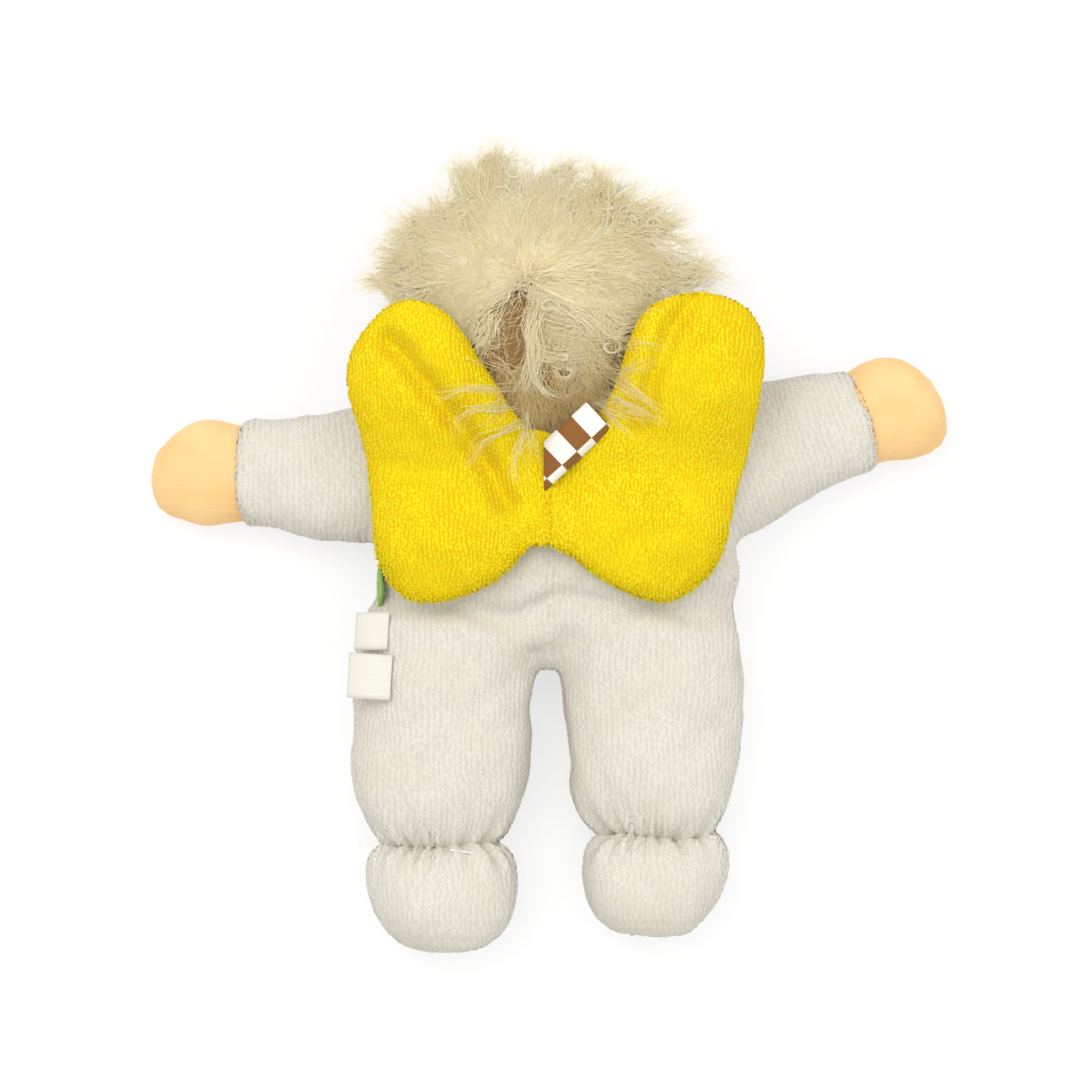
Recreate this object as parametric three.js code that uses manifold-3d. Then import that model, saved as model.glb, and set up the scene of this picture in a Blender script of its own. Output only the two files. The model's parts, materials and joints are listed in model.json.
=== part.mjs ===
// A soft cloth doll lying face down: a terry romper stuffed with wool, jersey head and hands, fleece hair,
// and a pair of wadded terry wings sewn to its back. Millimetres, +Z up, +Y towards the head.
import * as THREE from "three";
import { mergeVertices } from "three/addons/utils/BufferGeometryUtils.js";
import Module from "manifold-3d";

const wasm = await Module();
wasm.setup();

// Cloth walls and the clearance between pieces.
const terryWall = 1.8;
const jerseyWall = 1.1;
const knitWall = 1.3;
const feltWall = 0.9;
const clearance = 0.45;
const threadRadius = 0.8;

// How deep a soft form is pressed flat where it lies on the ground.
const pressedFlat = 0.5;

// Tools that cut: a block larger than the doll, and how far a cutter runs past what it cuts.
const cutterSize = 600;
const overrun = 2;
const weldDistance = 0.0001;

// How finely the round forms are divided.
const formSides = 14;
const rollSides = 16;
const rollSteps = 5;
const ballSides = 16;

// Torso, measured from the hip axis up to the neck.
const hipHeight = 21.5;
const hipPlace = -21;
const torso = { length: 71, width: 120, thickness: 52, drift: 0, lift: 4 };
const torsoShares = [
  [0, 1, 0.71, 0, 0],
  [0.1, 1, 0.86, 0, 0.4],
  [0.28, 0.99, 1, 0, 1],
  [0.48, 0.97, 1, 0, 1],
  [0.66, 0.9, 0.95, 0, 1],
  [0.82, 0.76, 0.8, 0, 0.9],
  [0.93, 0.56, 0.58, 0, 0.8],
  [1, 0.3, 0.34, 0, 0.7],
];
const hipRoll = { radius: 18, halfLength: 60 };

// Legs, from the hip axis to the ankle, and feet, from the ankle to the toes.
const legShares = [
  [0, 0.94, 0.93, 0, 0],
  [0.25, 1, 1, 0.1, 0],
  [0.5, 1, 1, 0.4, 0],
  [0.7, 0.96, 0.95, 0.65, 0.35],
  [0.86, 0.86, 0.84, 0.85, 0.8],
  [0.95, 0.76, 0.74, 0.95, 1],
  [1, 0.69, 0.69, 1, 1],
];
const footShares = [
  [0, 0.84, 0.8, 0, 0],
  [0.15, 0.95, 0.92, 0, 0],
  [0.35, 1, 1, 0, 0],
  [0.6, 0.96, 0.96, 0, 0],
  [0.8, 0.78, 0.8, 0, 0],
  [0.93, 0.5, 0.54, 0, 0],
  [1, 0.2, 0.24, 0, 0],
];
const ankleRoll = { radius: 15, halfLength: 20.5 };
const leftLeg = { place: -35, length: 82, width: 61, thickness: 44, drift: -1.5, lift: -3.5 };
const rightLeg = { place: 36, length: 77.5, width: 61, thickness: 44, drift: 1, lift: -3.5 };
const leftFoot = { length: 36.7, width: 51.4, thickness: 37, drift: 0, lift: 0 };
const rightFoot = { length: 35.2, width: 49.8, thickness: 37, drift: 0, lift: 0 };
const hipSwing = { forward: 60, back: 10 };
const ankleSwing = { forward: 20, back: 20 };

// Arms, from the shoulder to the cuff, and hands, from the cuff to the fingertips.
const armShares = [
  [0, 1, 1, 0, 0],
  [0.3, 0.98, 1, 0, 0.25],
  [0.6, 0.93, 0.96, 0, 0.6],
  [0.85, 0.87, 0.9, 0, 0.88],
  [1, 0.84, 0.87, 0, 1],
];
const handShares = [
  [0, 0.93, 0.94, 0, 0],
  [0.25, 1, 1, 0, 0],
  [0.5, 1, 1, 0, 0],
  [0.72, 0.9, 0.9, 0, 0],
  [0.88, 0.68, 0.72, 0, 0],
  [1, 0.3, 0.34, 0, 0],
];
const shoulderRoll = { radius: 12.8, halfLength: 20 };
const wristRoll = { radius: 11.2, halfLength: 16 };
const shoulder = { aside: 45, along: 27, height: 22 };
const leftArm = { length: 63, width: 42, thickness: 30, drift: 0, lift: -9.5, raise: 0 };
const rightArm = { length: 68, width: 42, thickness: 30, drift: 0, lift: -9.5, raise: 16 };
const leftHand = { length: 30, width: 36, thickness: 25, drift: 0, lift: 0, bend: 0 };
const rightHand = { length: 28, width: 36, thickness: 25, drift: 0, lift: 0, bend: -9 };
const shoulderSwing = { forward: 60, back: 10 };
const wristSwing = { forward: 35, back: 20 };

// Degrees kept free past the end of each swing.
const swingMargin = 2;

// Head, on a neck that nods in the torso's collar.
const neck = { along: 48, height: 30, radius: 12.5, tilt: 10.5, rise: 0.6 };
const head = { radius: 35 };
const collarRoom = 1.6;
const nodRange = { forward: 20, back: 4 };
const nodSteps = 2;
const capRim = { tilt: 62, depth: -7 };
const hairBase = 1.6;
const hairRim = { tilt: 62, depth: -3 };
const napeLimit = 14;
const nose = { radius: 4.2, proud: 2, along: -1 };
const eye = { aside: 12, along: 4, halfWidth: 2.2, halfHeight: 2.6 };
const mouth = { along: -10, halfWidth: 5, halfHeight: 1.1 };
const threadWall = 0.7;

// Locks of hair: angle round the head from its right side, lift off the ground plane, and reach.
const hairReach = 68;
const hairFan = { aside: 55, along: 46, up: 25, start: 5 };
const lockRadius = 9;
const lockWidthShares = [1, 0.85, 0.5, 0.1];
const lockSides = 6;
const lockShares = [
  [11, 2, 0.97],
  [28, 4, 0.87],
  [48, 14, 0.74],
  [66, 8, 0.74],
  [84, 14, 0.8],
  [99, 8, 0.78],
  [113, 12, 0.85],
  [131, 10, 0.82],
  [152, 14, 0.93],
  [169, 10, 0.98],
  [20, 42, 0.76],
  [55, 46, 0.68],
  [90, 42, 0.7],
  [125, 46, 0.7],
  [160, 42, 0.76],
  [35, 72, 0.66],
  [110, 74, 0.66],
  [150, 70, 0.64],
];

// Wings: outline shares of the half span (sideways) and of the height (from the lower to the upper edge).
const wingSpan = 73.5;
const wingHeight = 104;
const wingFoot = -17.6;
const wingPuff = 4.6;
const wingRim = 1.3;
const wingGap = 1.2;
const wingSteps = 28;
const wingRingShares = [1, 0.84, 0.45];
const wingCentreShare = 0.52;
const hinge = { height: 54.5, start: 3, end: 38 };
const wingForm = { crown: 14, droop: 13, dip: 5, crownStart: 26, crownEnd: 56 };
const leftWingShares = [
  [0.016, 0.185],
  [0.11, 0.175],
  [0.3, 0.055],
  [0.55, 0],
  [0.75, 0.06],
  [0.81, 0.2],
  [0.83, 0.4],
  [0.87, 0.57],
  [0.925, 0.73],
  [0.87, 0.87],
  [0.74, 0.965],
  [0.58, 0.972],
  [0.45, 0.92],
  [0.32, 0.8],
  [0.22, 0.68],
  [0.11, 0.57],
  [0.016, 0.54],
];
const rightWingShares = [
  [0.016, 0.185],
  [0.11, 0.175],
  [0.31, 0.05],
  [0.55, 0],
  [0.74, 0.09],
  [0.83, 0.23],
  [0.91, 0.45],
  [0.98, 0.65],
  [1, 0.82],
  [0.93, 0.95],
  [0.7, 1],
  [0.5, 0.965],
  [0.39, 0.87],
  [0.33, 0.74],
  [0.25, 0.61],
  [0.12, 0.55],
  [0.016, 0.54],
];

// The hanging loop: a folded tape sewn into the seam between the wings, that leans over the right one.
const loop = { length: 30, sewnIn: 7, width: 12, height: 10, wall: 0.8, turn: 45 };
const loopRoot = { aside: 0.9, along: 26, rise: 9 };
const loopTab = { width: 1.5, length: 8 };

// Care labels at the left hip: how far each one reaches over the leg, and where along it.
const longLabel = { start: 3, width: 13, reach: 11, proud: 1 };
const shortLabel = { start: 16.6, width: 15.5, reach: 13, proud: 3.4 };
const labelWall = 0.4;
const labelSteps = 5;

// A leaf cut from felt, sewn to the romper's left side.
const leaf = { along: 8.4, height: 2, length: 14, width: 8, rise: 8 };

const materials = {
  terry: new THREE.MeshStandardMaterial({ color: 0xe8e3d4, roughness: 0.95, metalness: 0 }),
  yellow: new THREE.MeshStandardMaterial({ color: 0xfada18, roughness: 0.95, metalness: 0 }),
  jersey: new THREE.MeshStandardMaterial({ color: 0xfadb98, roughness: 0.85, metalness: 0 }),
  wool: new THREE.MeshStandardMaterial({ color: 0xefe8d6, roughness: 1, metalness: 0 }),
  fleece: new THREE.MeshStandardMaterial({ color: 0xddcc9c, roughness: 0.8, metalness: 0 }),
  knit: new THREE.MeshStandardMaterial({ color: 0xa98247, roughness: 0.95, metalness: 0 }),
  tape: new THREE.MeshStandardMaterial({ color: 0x8e5e2b, roughness: 0.9, metalness: 0 }),
  label: new THREE.MeshStandardMaterial({ color: 0xf2f1e5, roughness: 0.8, metalness: 0 }),
  felt: new THREE.MeshStandardMaterial({ color: 0x6f9f26, roughness: 0.95, metalness: 0 }),
  thread: new THREE.MeshStandardMaterial({ color: 0xece6d6, roughness: 0.7, metalness: 0 }),
  eyeThread: new THREE.MeshStandardMaterial({ color: 0x4a3524, roughness: 0.6, metalness: 0 }),
  mouthThread: new THREE.MeshStandardMaterial({ color: 0xc2604c, roughness: 0.6, metalness: 0 }),
};

const radians = THREE.MathUtils.degToRad;

// A closed three.js geometry as a solid that can be cut and joined.
function solid(geometry) {
  const plain = new THREE.BufferGeometry();
  plain.setAttribute("position", geometry.getAttribute("position"));
  plain.setIndex(geometry.index);
  const merged = mergeVertices(plain, weldDistance);
  return new wasm.Manifold(
    new wasm.Mesh({
      numProp: 3,
      vertProperties: merged.getAttribute("position").array,
      triVerts: new Uint32Array(merged.index.array),
    }),
  );
}

function named(name, shape, material) {
  const cut = shape.getMesh();
  const geometry = new THREE.BufferGeometry();
  geometry.setAttribute("position", new THREE.BufferAttribute(cut.vertProperties, 3));
  geometry.setIndex(new THREE.BufferAttribute(cut.triVerts, 1));
  geometry.computeVertexNormals();
  const mesh = new THREE.Mesh(geometry, material);
  mesh.name = name;
  return mesh;
}

function groupAt(x, y, z, turnDegrees = 0) {
  const group = new THREE.Group();
  group.position.set(x, y, z);
  group.rotation.z = radians(turnDegrees);
  return group;
}

// Closed rings of points, given in order along +X, joined by faces and closed at both ends. The second
// half's faces are split the other way, so that the two sides of a folded outline match.
function loft(rings) {
  const count = rings[0].length;
  const points = rings.flat();
  const faces = [];
  for (let i = 0; i + 1 < rings.length; i++) {
    for (let k = 0; k < count; k++) {
      const next = (k + 1) % count;
      const [a, b, c, d] = [k, next, count + next, count + k].map((n) => i * count + n);
      faces.push(...(i < (rings.length - 1) / 2 ? [a, b, d, b, c, d] : [a, b, c, a, c, d]));
    }
  }
  const centre = (ring) => ring.reduce((sum, p) => sum.add(p), new THREE.Vector3()).divideScalar(count);
  const last = (rings.length - 1) * count;
  points.push(centre(rings[0]), centre(rings[rings.length - 1]));
  for (let k = 0; k < count; k++) {
    const next = (k + 1) % count;
    faces.push(points.length - 2, next, k, points.length - 1, last + k, last + next);
  }
  const geometry = new THREE.BufferGeometry().setFromPoints(points);
  geometry.setIndex(faces);
  return geometry;
}

function ovalRing(x, y, z, halfWidth, halfThickness) {
  return Array.from({ length: formSides }, (_, k) => {
    const angle = (2 * Math.PI * k) / formSides;
    return new THREE.Vector3(x, y + halfWidth * Math.cos(angle), z + halfThickness * Math.sin(angle));
  });
}

// A stuffed form along +X that swells and tapers as its shares say, taken in all round by an inset.
function stuffed(size, shares, inset = 0) {
  const rings = shares.map(([along, wide, thick, aside, up]) =>
    ovalRing(
      (size.length - inset) * along,
      size.drift * aside,
      size.lift * up,
      (size.width / 2) * wide - inset,
      (size.thickness / 2) * thick - inset,
    ),
  );
  return solid(loft(rings));
}

// The rounded roll that a limb turns on: a barrel about the Y axis with blunt round ends.
function roll({ radius, halfLength }, grown = 0) {
  const bluntness = 0.4;
  const profile = Array.from({ length: rollSteps + 1 }, (_, i) => {
    const angle = Math.PI * (i / rollSteps - 1 / 2);
    const out = i === 0 || i === rollSteps ? 0 : Math.cos(angle) ** bluntness;
    const up = Math.sign(Math.sin(angle)) * Math.abs(Math.sin(angle)) ** bluntness;
    return new THREE.Vector2((radius + grown) * out, (halfLength + grown) * up);
  });
  return solid(new THREE.LatheGeometry(profile, rollSides));
}

function ball(radius) {
  return solid(new THREE.SphereGeometry(radius, ballSides, ballSides / 2));
}

function block(width, depth, height) {
  return solid(new THREE.BoxGeometry(width, depth, height));
}

// What a piece on the +X side of a hinge about Y gives up so that it can swing both ways.
function swingRoom({ forward, back }) {
  const halfSpace = block(cutterSize, cutterSize, cutterSize);
  const behind = halfSpace.translate([0, 0, cutterSize / 2]);
  const below = halfSpace.translate([0, 0, -cutterSize / 2]);
  return behind
    .rotate([0, back + swingMargin - 90, 0])
    .add(below.rotate([0, 90 - forward - swingMargin, 0]));
}

// A limb hung on its parent's roll: a cloth skin, open at the roll, round a filling of wool.
function hungLimb(outer, middle, hub, swing) {
  const room = roll(hub, clearance).add(swingRoom(swing));
  return { skin: outer.subtract(middle(0)).subtract(room), wool: middle(clearance).subtract(room) };
}

// Torso: the stuffed body, joined to the rolls that the legs and the arms turn on.
function torsoForm(inset) {
  const bay = block(cutterSize, shoulderBay * 2, cutterSize).translate([cutterSize / 2, 0, 0]);
  const bodyPlaces = [
    [-shoulder.aside, 180 - leftArm.raise],
    [shoulder.aside, rightArm.raise],
  ];
  let body = stuffed(torso, torsoShares, inset)
    .rotate([0, 0, 90])
    .translate([0, hipPlace, hipHeight]);
  for (const [aside, turn] of bodyPlaces) {
    const place = [aside, shoulder.along, shoulder.height];
    body = body
      .subtract(bay.translate([-inset, 0, 0]).rotate([0, 0, turn]).translate(place))
      .add(roll(shoulderRoll, -inset).rotate([0, 0, turn]).translate(place));
  }
  return body.add(roll(hipRoll, -inset).rotate([0, 0, 90]).translate([0, hipPlace, hipHeight]));
}

const shoulderBay = leftArm.width / 2 + clearance;
const loopTabPlace = [0, loopRoot.along, hinge.height + loopRoot.rise / 2 - clearance];
const neckPlace = [0, neck.along, neck.height];
const neckLength = head.radius + neck.rise;

// The hollow of the collar: the head's ball swept through its nod, and the neck's own ball and thread.
function collarHollow() {
  const sweep = ball(head.radius + clearance + knitWall + collarRoom).translate([0, neckLength, 0]);
  let hollow = ball(neck.radius + 2 * threadRadius + 2 * clearance);
  for (let i = 0; i <= nodSteps; i++) {
    const nod = nodRange.back - ((nodRange.back + nodRange.forward) * i) / nodSteps;
    hollow = hollow.add(sweep.rotate([neck.tilt + nod, 0, 0]));
  }
  return hollow.translate(neckPlace);
}

function torsoPieces() {
  const hollow = collarHollow();
  const filling = torsoForm(terryWall + clearance).subtract(hollow);
  const skin = torsoForm(0).subtract(torsoForm(terryWall)).subtract(hollow);
  const stitched = block(2 * wingGap, hinge.end - hinge.start, hinge.height)
    .translate([0, (hinge.end + hinge.start) / 2, hinge.height / 2])
    .subtract(torsoForm(-clearance))
    .subtract(block(cutterSize, cutterSize, hipHeight * 2))
    .add(block(loopTab.width, loopTab.length, loopRoot.rise).translate(loopTabPlace));
  return [
    named("torso_skin", skin, materials.terry),
    named("torso_wool", filling, materials.wool),
    named("wing_stitching", stitched, materials.thread),
    named("leaf_patch", leafPatch(), materials.felt),
  ];
}

// A leaf outline pressed through a thin layer that lies on the torso.
function leafPatch() {
  const outline = new THREE.Shape();
  outline.moveTo(-leaf.length / 2, 0);
  outline.quadraticCurveTo(0, leaf.width, leaf.length / 2, 0);
  outline.quadraticCurveTo(0, -leaf.width, -leaf.length / 2, 0);
  const punch = new THREE.ExtrudeGeometry(outline, { depth: torso.width, bevelEnabled: false });
  const place = [0, hipPlace + leaf.along, hipHeight + leaf.height];
  return torsoForm(-clearance - feltWall)
    .subtract(torsoForm(-clearance))
    .intersect(solid(punch).rotate([0, 0, 90]).rotate([0, leaf.rise - 90, 0]).translate(place));
}

// An arm in its own frame: +X from the shoulder to the hand. The hand is a stuffed mitten in the cuff.
function arm(side, size, handSize, turn) {
  const group = groupAt(side * shoulder.aside, shoulder.along, shoulder.height, turn);
  const wrist = groupAt(size.length, 0, size.lift, handSize.bend);
  const cuffRoom = roll(wristRoll, clearance)
    .add(swingRoom(wristSwing).rotate([0, 0, 180]))
    .rotate([0, 0, handSize.bend])
    .translate(wrist.position.toArray());
  const outer = stuffed(size, armShares);
  const inner = (more) => stuffed(size, armShares, terryWall + more);
  const sleeve = hungLimb(outer, inner, shoulderRoll, shoulderSwing);
  const behindWrist = block(cutterSize, cutterSize, cutterSize).translate([-cutterSize / 2, 0, 0]);
  const handForm = (inset) =>
    stuffed(handSize, handShares, inset).subtract(behindWrist).add(roll(wristRoll, -inset));
  const mitten = handForm(0).subtract(handForm(jerseyWall)).subtract(seamMouth(wristRoll));
  const prefix = side < 0 ? "left" : "right";
  group.add(
    named(prefix + "_sleeve", sleeve.skin.subtract(cuffRoom), materials.terry),
    named(prefix + "_arm_wool", sleeve.wool.subtract(cuffRoom), materials.wool),
    wrist,
  );
  wrist.add(
    named(prefix + "_hand", mitten, materials.jersey),
    named(prefix + "_hand_wool", handForm(jerseyWall + clearance), materials.wool),
  );
  return group;
}

// The slit that a stuffed bag is filled through, in the blunt end of its roll.
function seamMouth({ radius, halfLength }) {
  return block(radius, halfLength, radius / 4).translate([-radius, 0, 0]);
}

// A leg in its own frame: +X from the hip to the toes, with the foot tied off at the ankle.
function leg(side, size, footSize) {
  const group = groupAt(size.place, hipPlace, hipHeight, -90);
  const ankle = groupAt(size.length, size.drift, size.lift);
  const ankleEnd = (inset) => roll(ankleRoll, -inset).translate(ankle.position.toArray());
  const outer = stuffed(size, legShares).add(ankleEnd(0));
  const inner = (more) => stuffed(size, legShares, terryWall + more).add(ankleEnd(terryWall + more));
  const hub = { radius: hipRoll.radius, halfLength: hipRoll.halfLength };
  const hubOffset = -size.place;
  const room = roll(hub, clearance).translate([0, hubOffset, 0]).add(swingRoom(hipSwing));
  const footOuter = stuffed(footSize, footShares);
  const footInner = (more) => stuffed(footSize, footShares, terryWall + more);
  const foot = hungLimb(footOuter, footInner, ankleRoll, ankleSwing);
  const prefix = side < 0 ? "left" : "right";
  group.add(
    named(prefix + "_leg_skin", outer.subtract(inner(0)).subtract(room), materials.terry),
    named(prefix + "_leg_wool", inner(clearance).subtract(room), materials.wool),
    ankle,
  );
  ankle.add(
    named(prefix + "_foot_skin", foot.skin, materials.terry),
    named(prefix + "_foot_wool", foot.wool, materials.wool),
  );
  if (side < 0) {
    group.add(labels(size));
  }
  return group;
}

// Two woven labels sewn into the leg's outer seam and turned over its back.
function labels(size) {
  const seam = groupAt(0, -size.width / 2, 0);
  for (const [name, label] of [
    ["care_label", longLabel],
    ["size_label", shortLabel],
  ]) {
    const line = Array.from({ length: labelSteps + 1 }, (_, i) => labelPoint(size, label, i / labelSteps));
    const outline = new THREE.Shape([
      ...line,
      ...line.map((p) => new THREE.Vector2(p.x - labelWall, p.y + labelWall)).reverse(),
    ]);
    const strip = new THREE.ExtrudeGeometry(outline, { depth: label.width, bevelEnabled: false });
    strip.rotateX(Math.PI / 2).rotateZ(Math.PI / 2).translate(label.start, 0, 0);
    seam.add(named(name, solid(strip), materials.label));
  }
  return seam;
}

// A point of a label's line, seen along the leg: it leaves the seam, bows out and lies over the oval.
function labelPoint(size, label, share) {
  const halfWidth = size.width / 2;
  const inward = label.reach * share;
  const height = (size.thickness / 2) * Math.sqrt(1 - ((halfWidth - inward) / halfWidth) ** 2);
  const bow = label.proud * Math.sin(Math.PI * Math.sqrt(share));
  return new THREE.Vector2(inward - bow - clearance, height + bow / 2 + clearance);
}

// Head and hair, in the neck's frame: +Y from the neck to the crown, -Z to the face.
function headPieces() {
  const centre = [0, neckLength, 0];
  const form = (inset) => ball(head.radius - inset).translate(centre).add(ball(neck.radius - inset));
  const noseForm = (inset) =>
    ball(nose.radius - inset).translate([
      0,
      neckLength + nose.along,
      nose.radius - head.radius - nose.proud,
    ]);
  const face = (inset) => form(inset).add(noseForm(inset));
  const neckMouth = block(neck.radius, neck.radius, neck.radius).translate([0, -neck.radius, 0]);
  const layer = (inner, outer) =>
    ball(head.radius + outer).subtract(ball(head.radius + inner)).translate(centre);
  const capShell = layer(clearance, clearance + knitWall);
  const neckRoom = ball(neck.radius + 2 * threadRadius + 4 * clearance);
  return [
    named("head_skin", face(0).subtract(form(jerseyWall)).subtract(neckMouth), materials.jersey),
    named("head_wool", form(jerseyWall + clearance), materials.wool),
    named("hair_cap", capShell.subtract(inFrontOf(capRim)).subtract(neckRoom), materials.knit),
    named("hair", hair(centre), materials.fleece),
    ...faceStitches(layer),
  ];
}

// Everything on the face's side of a plane that leans back from the face by a tilt.
function inFrontOf({ tilt, depth }) {
  return block(cutterSize, cutterSize, cutterSize)
    .translate([0, 0, depth - cutterSize / 2])
    .rotate([tilt - 90, 0, 0])
    .translate([0, neckLength, 0]);
}

function faceStitches(layer) {
  const proud = layer(clearance, clearance + threadWall);
  const stitch = (aside, along, halfWidth, halfHeight) => {
    const oval = new THREE.CylinderGeometry(1, 1, head.radius, lockSides * 2);
    oval.rotateX(Math.PI / 2).scale(halfWidth, halfHeight, 1);
    oval.translate(aside, neckLength + along, -head.radius);
    return proud.intersect(solid(oval));
  };
  return [
    named("left_eye", stitch(-eye.aside, eye.along, eye.halfWidth, eye.halfHeight), materials.eyeThread),
    named("right_eye", stitch(eye.aside, eye.along, eye.halfWidth, eye.halfHeight), materials.eyeThread),
    named("mouth", stitch(0, mouth.along, mouth.halfWidth, mouth.halfHeight), materials.mouthThread),
  ];
}

// Fleece hair: a thin cap of hair that its locks stand out of.
function hair(centre) {
  const inside = head.radius + knitWall + 2 * clearance;
  const cover = ball(inside + hairBase).translate(centre).subtract(inFrontOf(hairRim));
  const nape = block(cutterSize, cutterSize, cutterSize).translate([0, napeLimit - cutterSize / 2, 0]);
  const fan = ball(1)
    .scale([hairFan.aside, hairFan.along, hairFan.up])
    .subtract(block(cutterSize, cutterSize, cutterSize).translate([0, hairFan.start - cutterSize / 2, 0]))
    .translate(centre);
  return lockShares
    .reduce((whole, [angle, lift, reach]) => whole.add(lock(centre, angle, lift, reach)), cover.add(fan))
    .subtract(ball(inside).translate(centre))
    .subtract(nape);
}

function lock(centre, angle, lift, reachShare) {
  const reach = hairReach * reachShare;
  const start = head.radius - lockRadius;
  const rings = lockWidthShares.map((wide, i) => {
    const along = start + ((reach - start) * i) / (lockWidthShares.length - 1);
    return Array.from({ length: lockSides }, (_, k) => {
      const turn = (2 * Math.PI * k) / lockSides;
      const side = lockRadius * wide;
      return new THREE.Vector3(along, side * Math.cos(turn), side * Math.sin(turn));
    });
  });
  return solid(loft(rings)).rotate([0, -lift, 0]).rotate([0, 0, angle]).translate(centre);
}

function neckThread() {
  const ringRadius = neck.radius + threadRadius + clearance;
  const rise = -threadRadius - clearance;
  const out = Math.sqrt(ringRadius ** 2 - rise ** 2);
  const torus = new THREE.TorusGeometry(out, threadRadius, lockSides, ballSides);
  return solid(torus.rotateX(Math.PI / 2).translate(0, rise, 0));
}

// The height of a wing's middle layer above a place on the back.
function wingMiddle(aside, along) {
  const { smoothstep } = THREE.MathUtils;
  const crown = wingForm.crown * smoothstep(along, wingForm.crownStart, wingForm.crownEnd);
  const droop = wingForm.droop * (aside / wingSpan) ** 3;
  const dip = wingForm.dip * (1 - smoothstep(along, wingFoot, hinge.start));
  const rise = smoothstep(aside, 0, wingSpan * wingCentreShare);
  return hinge.height + wingRim + clearance + crown * rise - droop - dip * rise;
}

// One layer of a wing: the outline in rings that close on its centre, between two heights.
function wingLayer(side, shares, heightAbove, heightBelow, ringShares = wingRingShares) {
  const outline = new THREE.SplineCurve(
    shares.map(([aside, along]) => new THREE.Vector2(aside * wingSpan, wingFoot + along * wingHeight)),
  );
  const edge = outline.getPoints(wingSteps - 1);
  const centre = new THREE.Vector2(wingSpan * wingCentreShare, wingFoot + wingHeight * wingCentreShare);
  const top = [];
  const bottom = [];
  for (const share of ringShares) {
    const flat = edge.map((p) => p.clone().lerp(centre, 1 - share));
    const place = (p, offset) => new THREE.Vector3(side * p.x, p.y, wingMiddle(p.x, p.y) + offset);
    top.push(flat.map((p) => place(p, heightAbove(share))));
    bottom.push(flat.map((p) => place(p, heightBelow(share))));
  }
  const rings = [...bottom.reverse(), ...top];
  return solid(loft(side < 0 ? rings.map((ring) => [...ring].reverse()) : rings));
}

// Half the wing's thickness where its outline is drawn in to a share of itself.
function puff(share) {
  return wingRim + (wingPuff - wingRim) * Math.sqrt(1 - share ** 2);
}

function wing(side, shares) {
  const group = groupAt(0, 0, 0);
  const half = clearance / 2;
  const inner = (share) => Math.max(puff(share) - terryWall, 2 * half);
  const prefix = side < 0 ? "left" : "right";
  const fill = (share) => puff(share) - terryWall - clearance;
  const wadding = wingLayer(side, shares, fill, (share) => -fill(share), wingRingShares.slice(1));
  group.add(
    named(prefix + "_wing_outer", wingLayer(side, shares, puff, inner), materials.yellow),
    named(prefix + "_wing_wadding", wadding, materials.wool),
    named(
      prefix + "_wing_lining",
      wingLayer(side, shares, (share) => -inner(share), (share) => -puff(share)),
      materials.yellow,
    ),
  );
  return group;
}

// The hanging loop: a tape bent into a drop, as deep as the tape is wide, turned and cut off at the seam.
function hangingLoop() {
  const drop = (grown) => {
    const shape = new THREE.Shape();
    const [tip, top, bend] = [loop.length + grown, loop.height + grown, (loop.length * 2) / 3];
    shape.moveTo(-grown, loop.wall / 2);
    shape.quadraticCurveTo(bend / 2, -grown, bend, -grown);
    shape.quadraticCurveTo(tip, -grown, tip, loop.height / 2);
    shape.quadraticCurveTo(tip, top, bend, top);
    shape.quadraticCurveTo(bend / 2, top, -grown, loop.wall);
    return shape;
  };
  const tape = { depth: loop.width, bevelEnabled: false, curveSegments: 7 };
  const outer = solid(new THREE.ExtrudeGeometry(drop(0), tape));
  const hole = new THREE.ExtrudeGeometry(drop(-loop.wall), { ...tape, depth: loop.width + 2 * overrun });
  const pastSeam = block(cutterSize, cutterSize, cutterSize).translate([-cutterSize / 2, 0, 0]);
  const shape = outer
    .subtract(solid(hole).translate([0, 0, -overrun]))
    .translate([-loop.sewnIn, 0, -loop.width / 2])
    .rotate([90, 0, loop.turn])
    .subtract(pastSeam);
  return named("hanging_loop", shape, materials.tape);
}

const doll = new THREE.Group();
doll.add(...torsoPieces());

const neckGroup = new THREE.Group();
neckGroup.position.set(...neckPlace);
neckGroup.rotation.x = radians(neck.tilt);
neckGroup.add(named("neck_tie", neckThread(), materials.thread), ...headPieces());
doll.add(neckGroup);

doll.add(
  arm(-1, leftArm, leftHand, 180 - leftArm.raise),
  arm(1, rightArm, rightHand, rightArm.raise),
  leg(-1, leftLeg, leftFoot),
  leg(1, rightLeg, rightFoot),
  wing(-1, leftWingShares),
  wing(1, rightWingShares),
);

const loopGroup = groupAt(loopRoot.aside, loopRoot.along, hinge.height + loopRoot.rise);
loopGroup.add(hangingLoop());
doll.add(loopGroup);

// Press every piece flat where it lies on the ground, and stand the doll on it, centred.
doll.updateMatrixWorld(true);
const exactBox = (object) => new THREE.Box3().setFromObject(object, true);
const groundHeight = exactBox(doll.getObjectByName("torso_skin")).min.z + pressedFlat;
const ground = new THREE.BoxGeometry(cutterSize, cutterSize, cutterSize);
ground.translate(0, 0, groundHeight - cutterSize / 2);
doll.traverse((piece) => {
  if (piece.isMesh && exactBox(piece).min.z < groundHeight) {
    const under = ground.clone().applyMatrix4(piece.matrixWorld.clone().invert());
    piece.geometry = named(piece.name, solid(piece.geometry).subtract(solid(under))).geometry;
  }
});
const lying = exactBox(doll);
const middle = lying.getCenter(new THREE.Vector3());
doll.position.set(-middle.x, -middle.y, -lying.min.z);

export default doll;
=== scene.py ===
"""Looks of a soft cloth doll that lies face down: terry romper and wings, jersey hands and head, long hair.

Lengths are millimetres, in the doll's own frame: X to its right arm, Y from the feet to the head, and Z up
out of its back. to_row() carries them to the row frame, in metres.
"""

import json
import math

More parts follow.
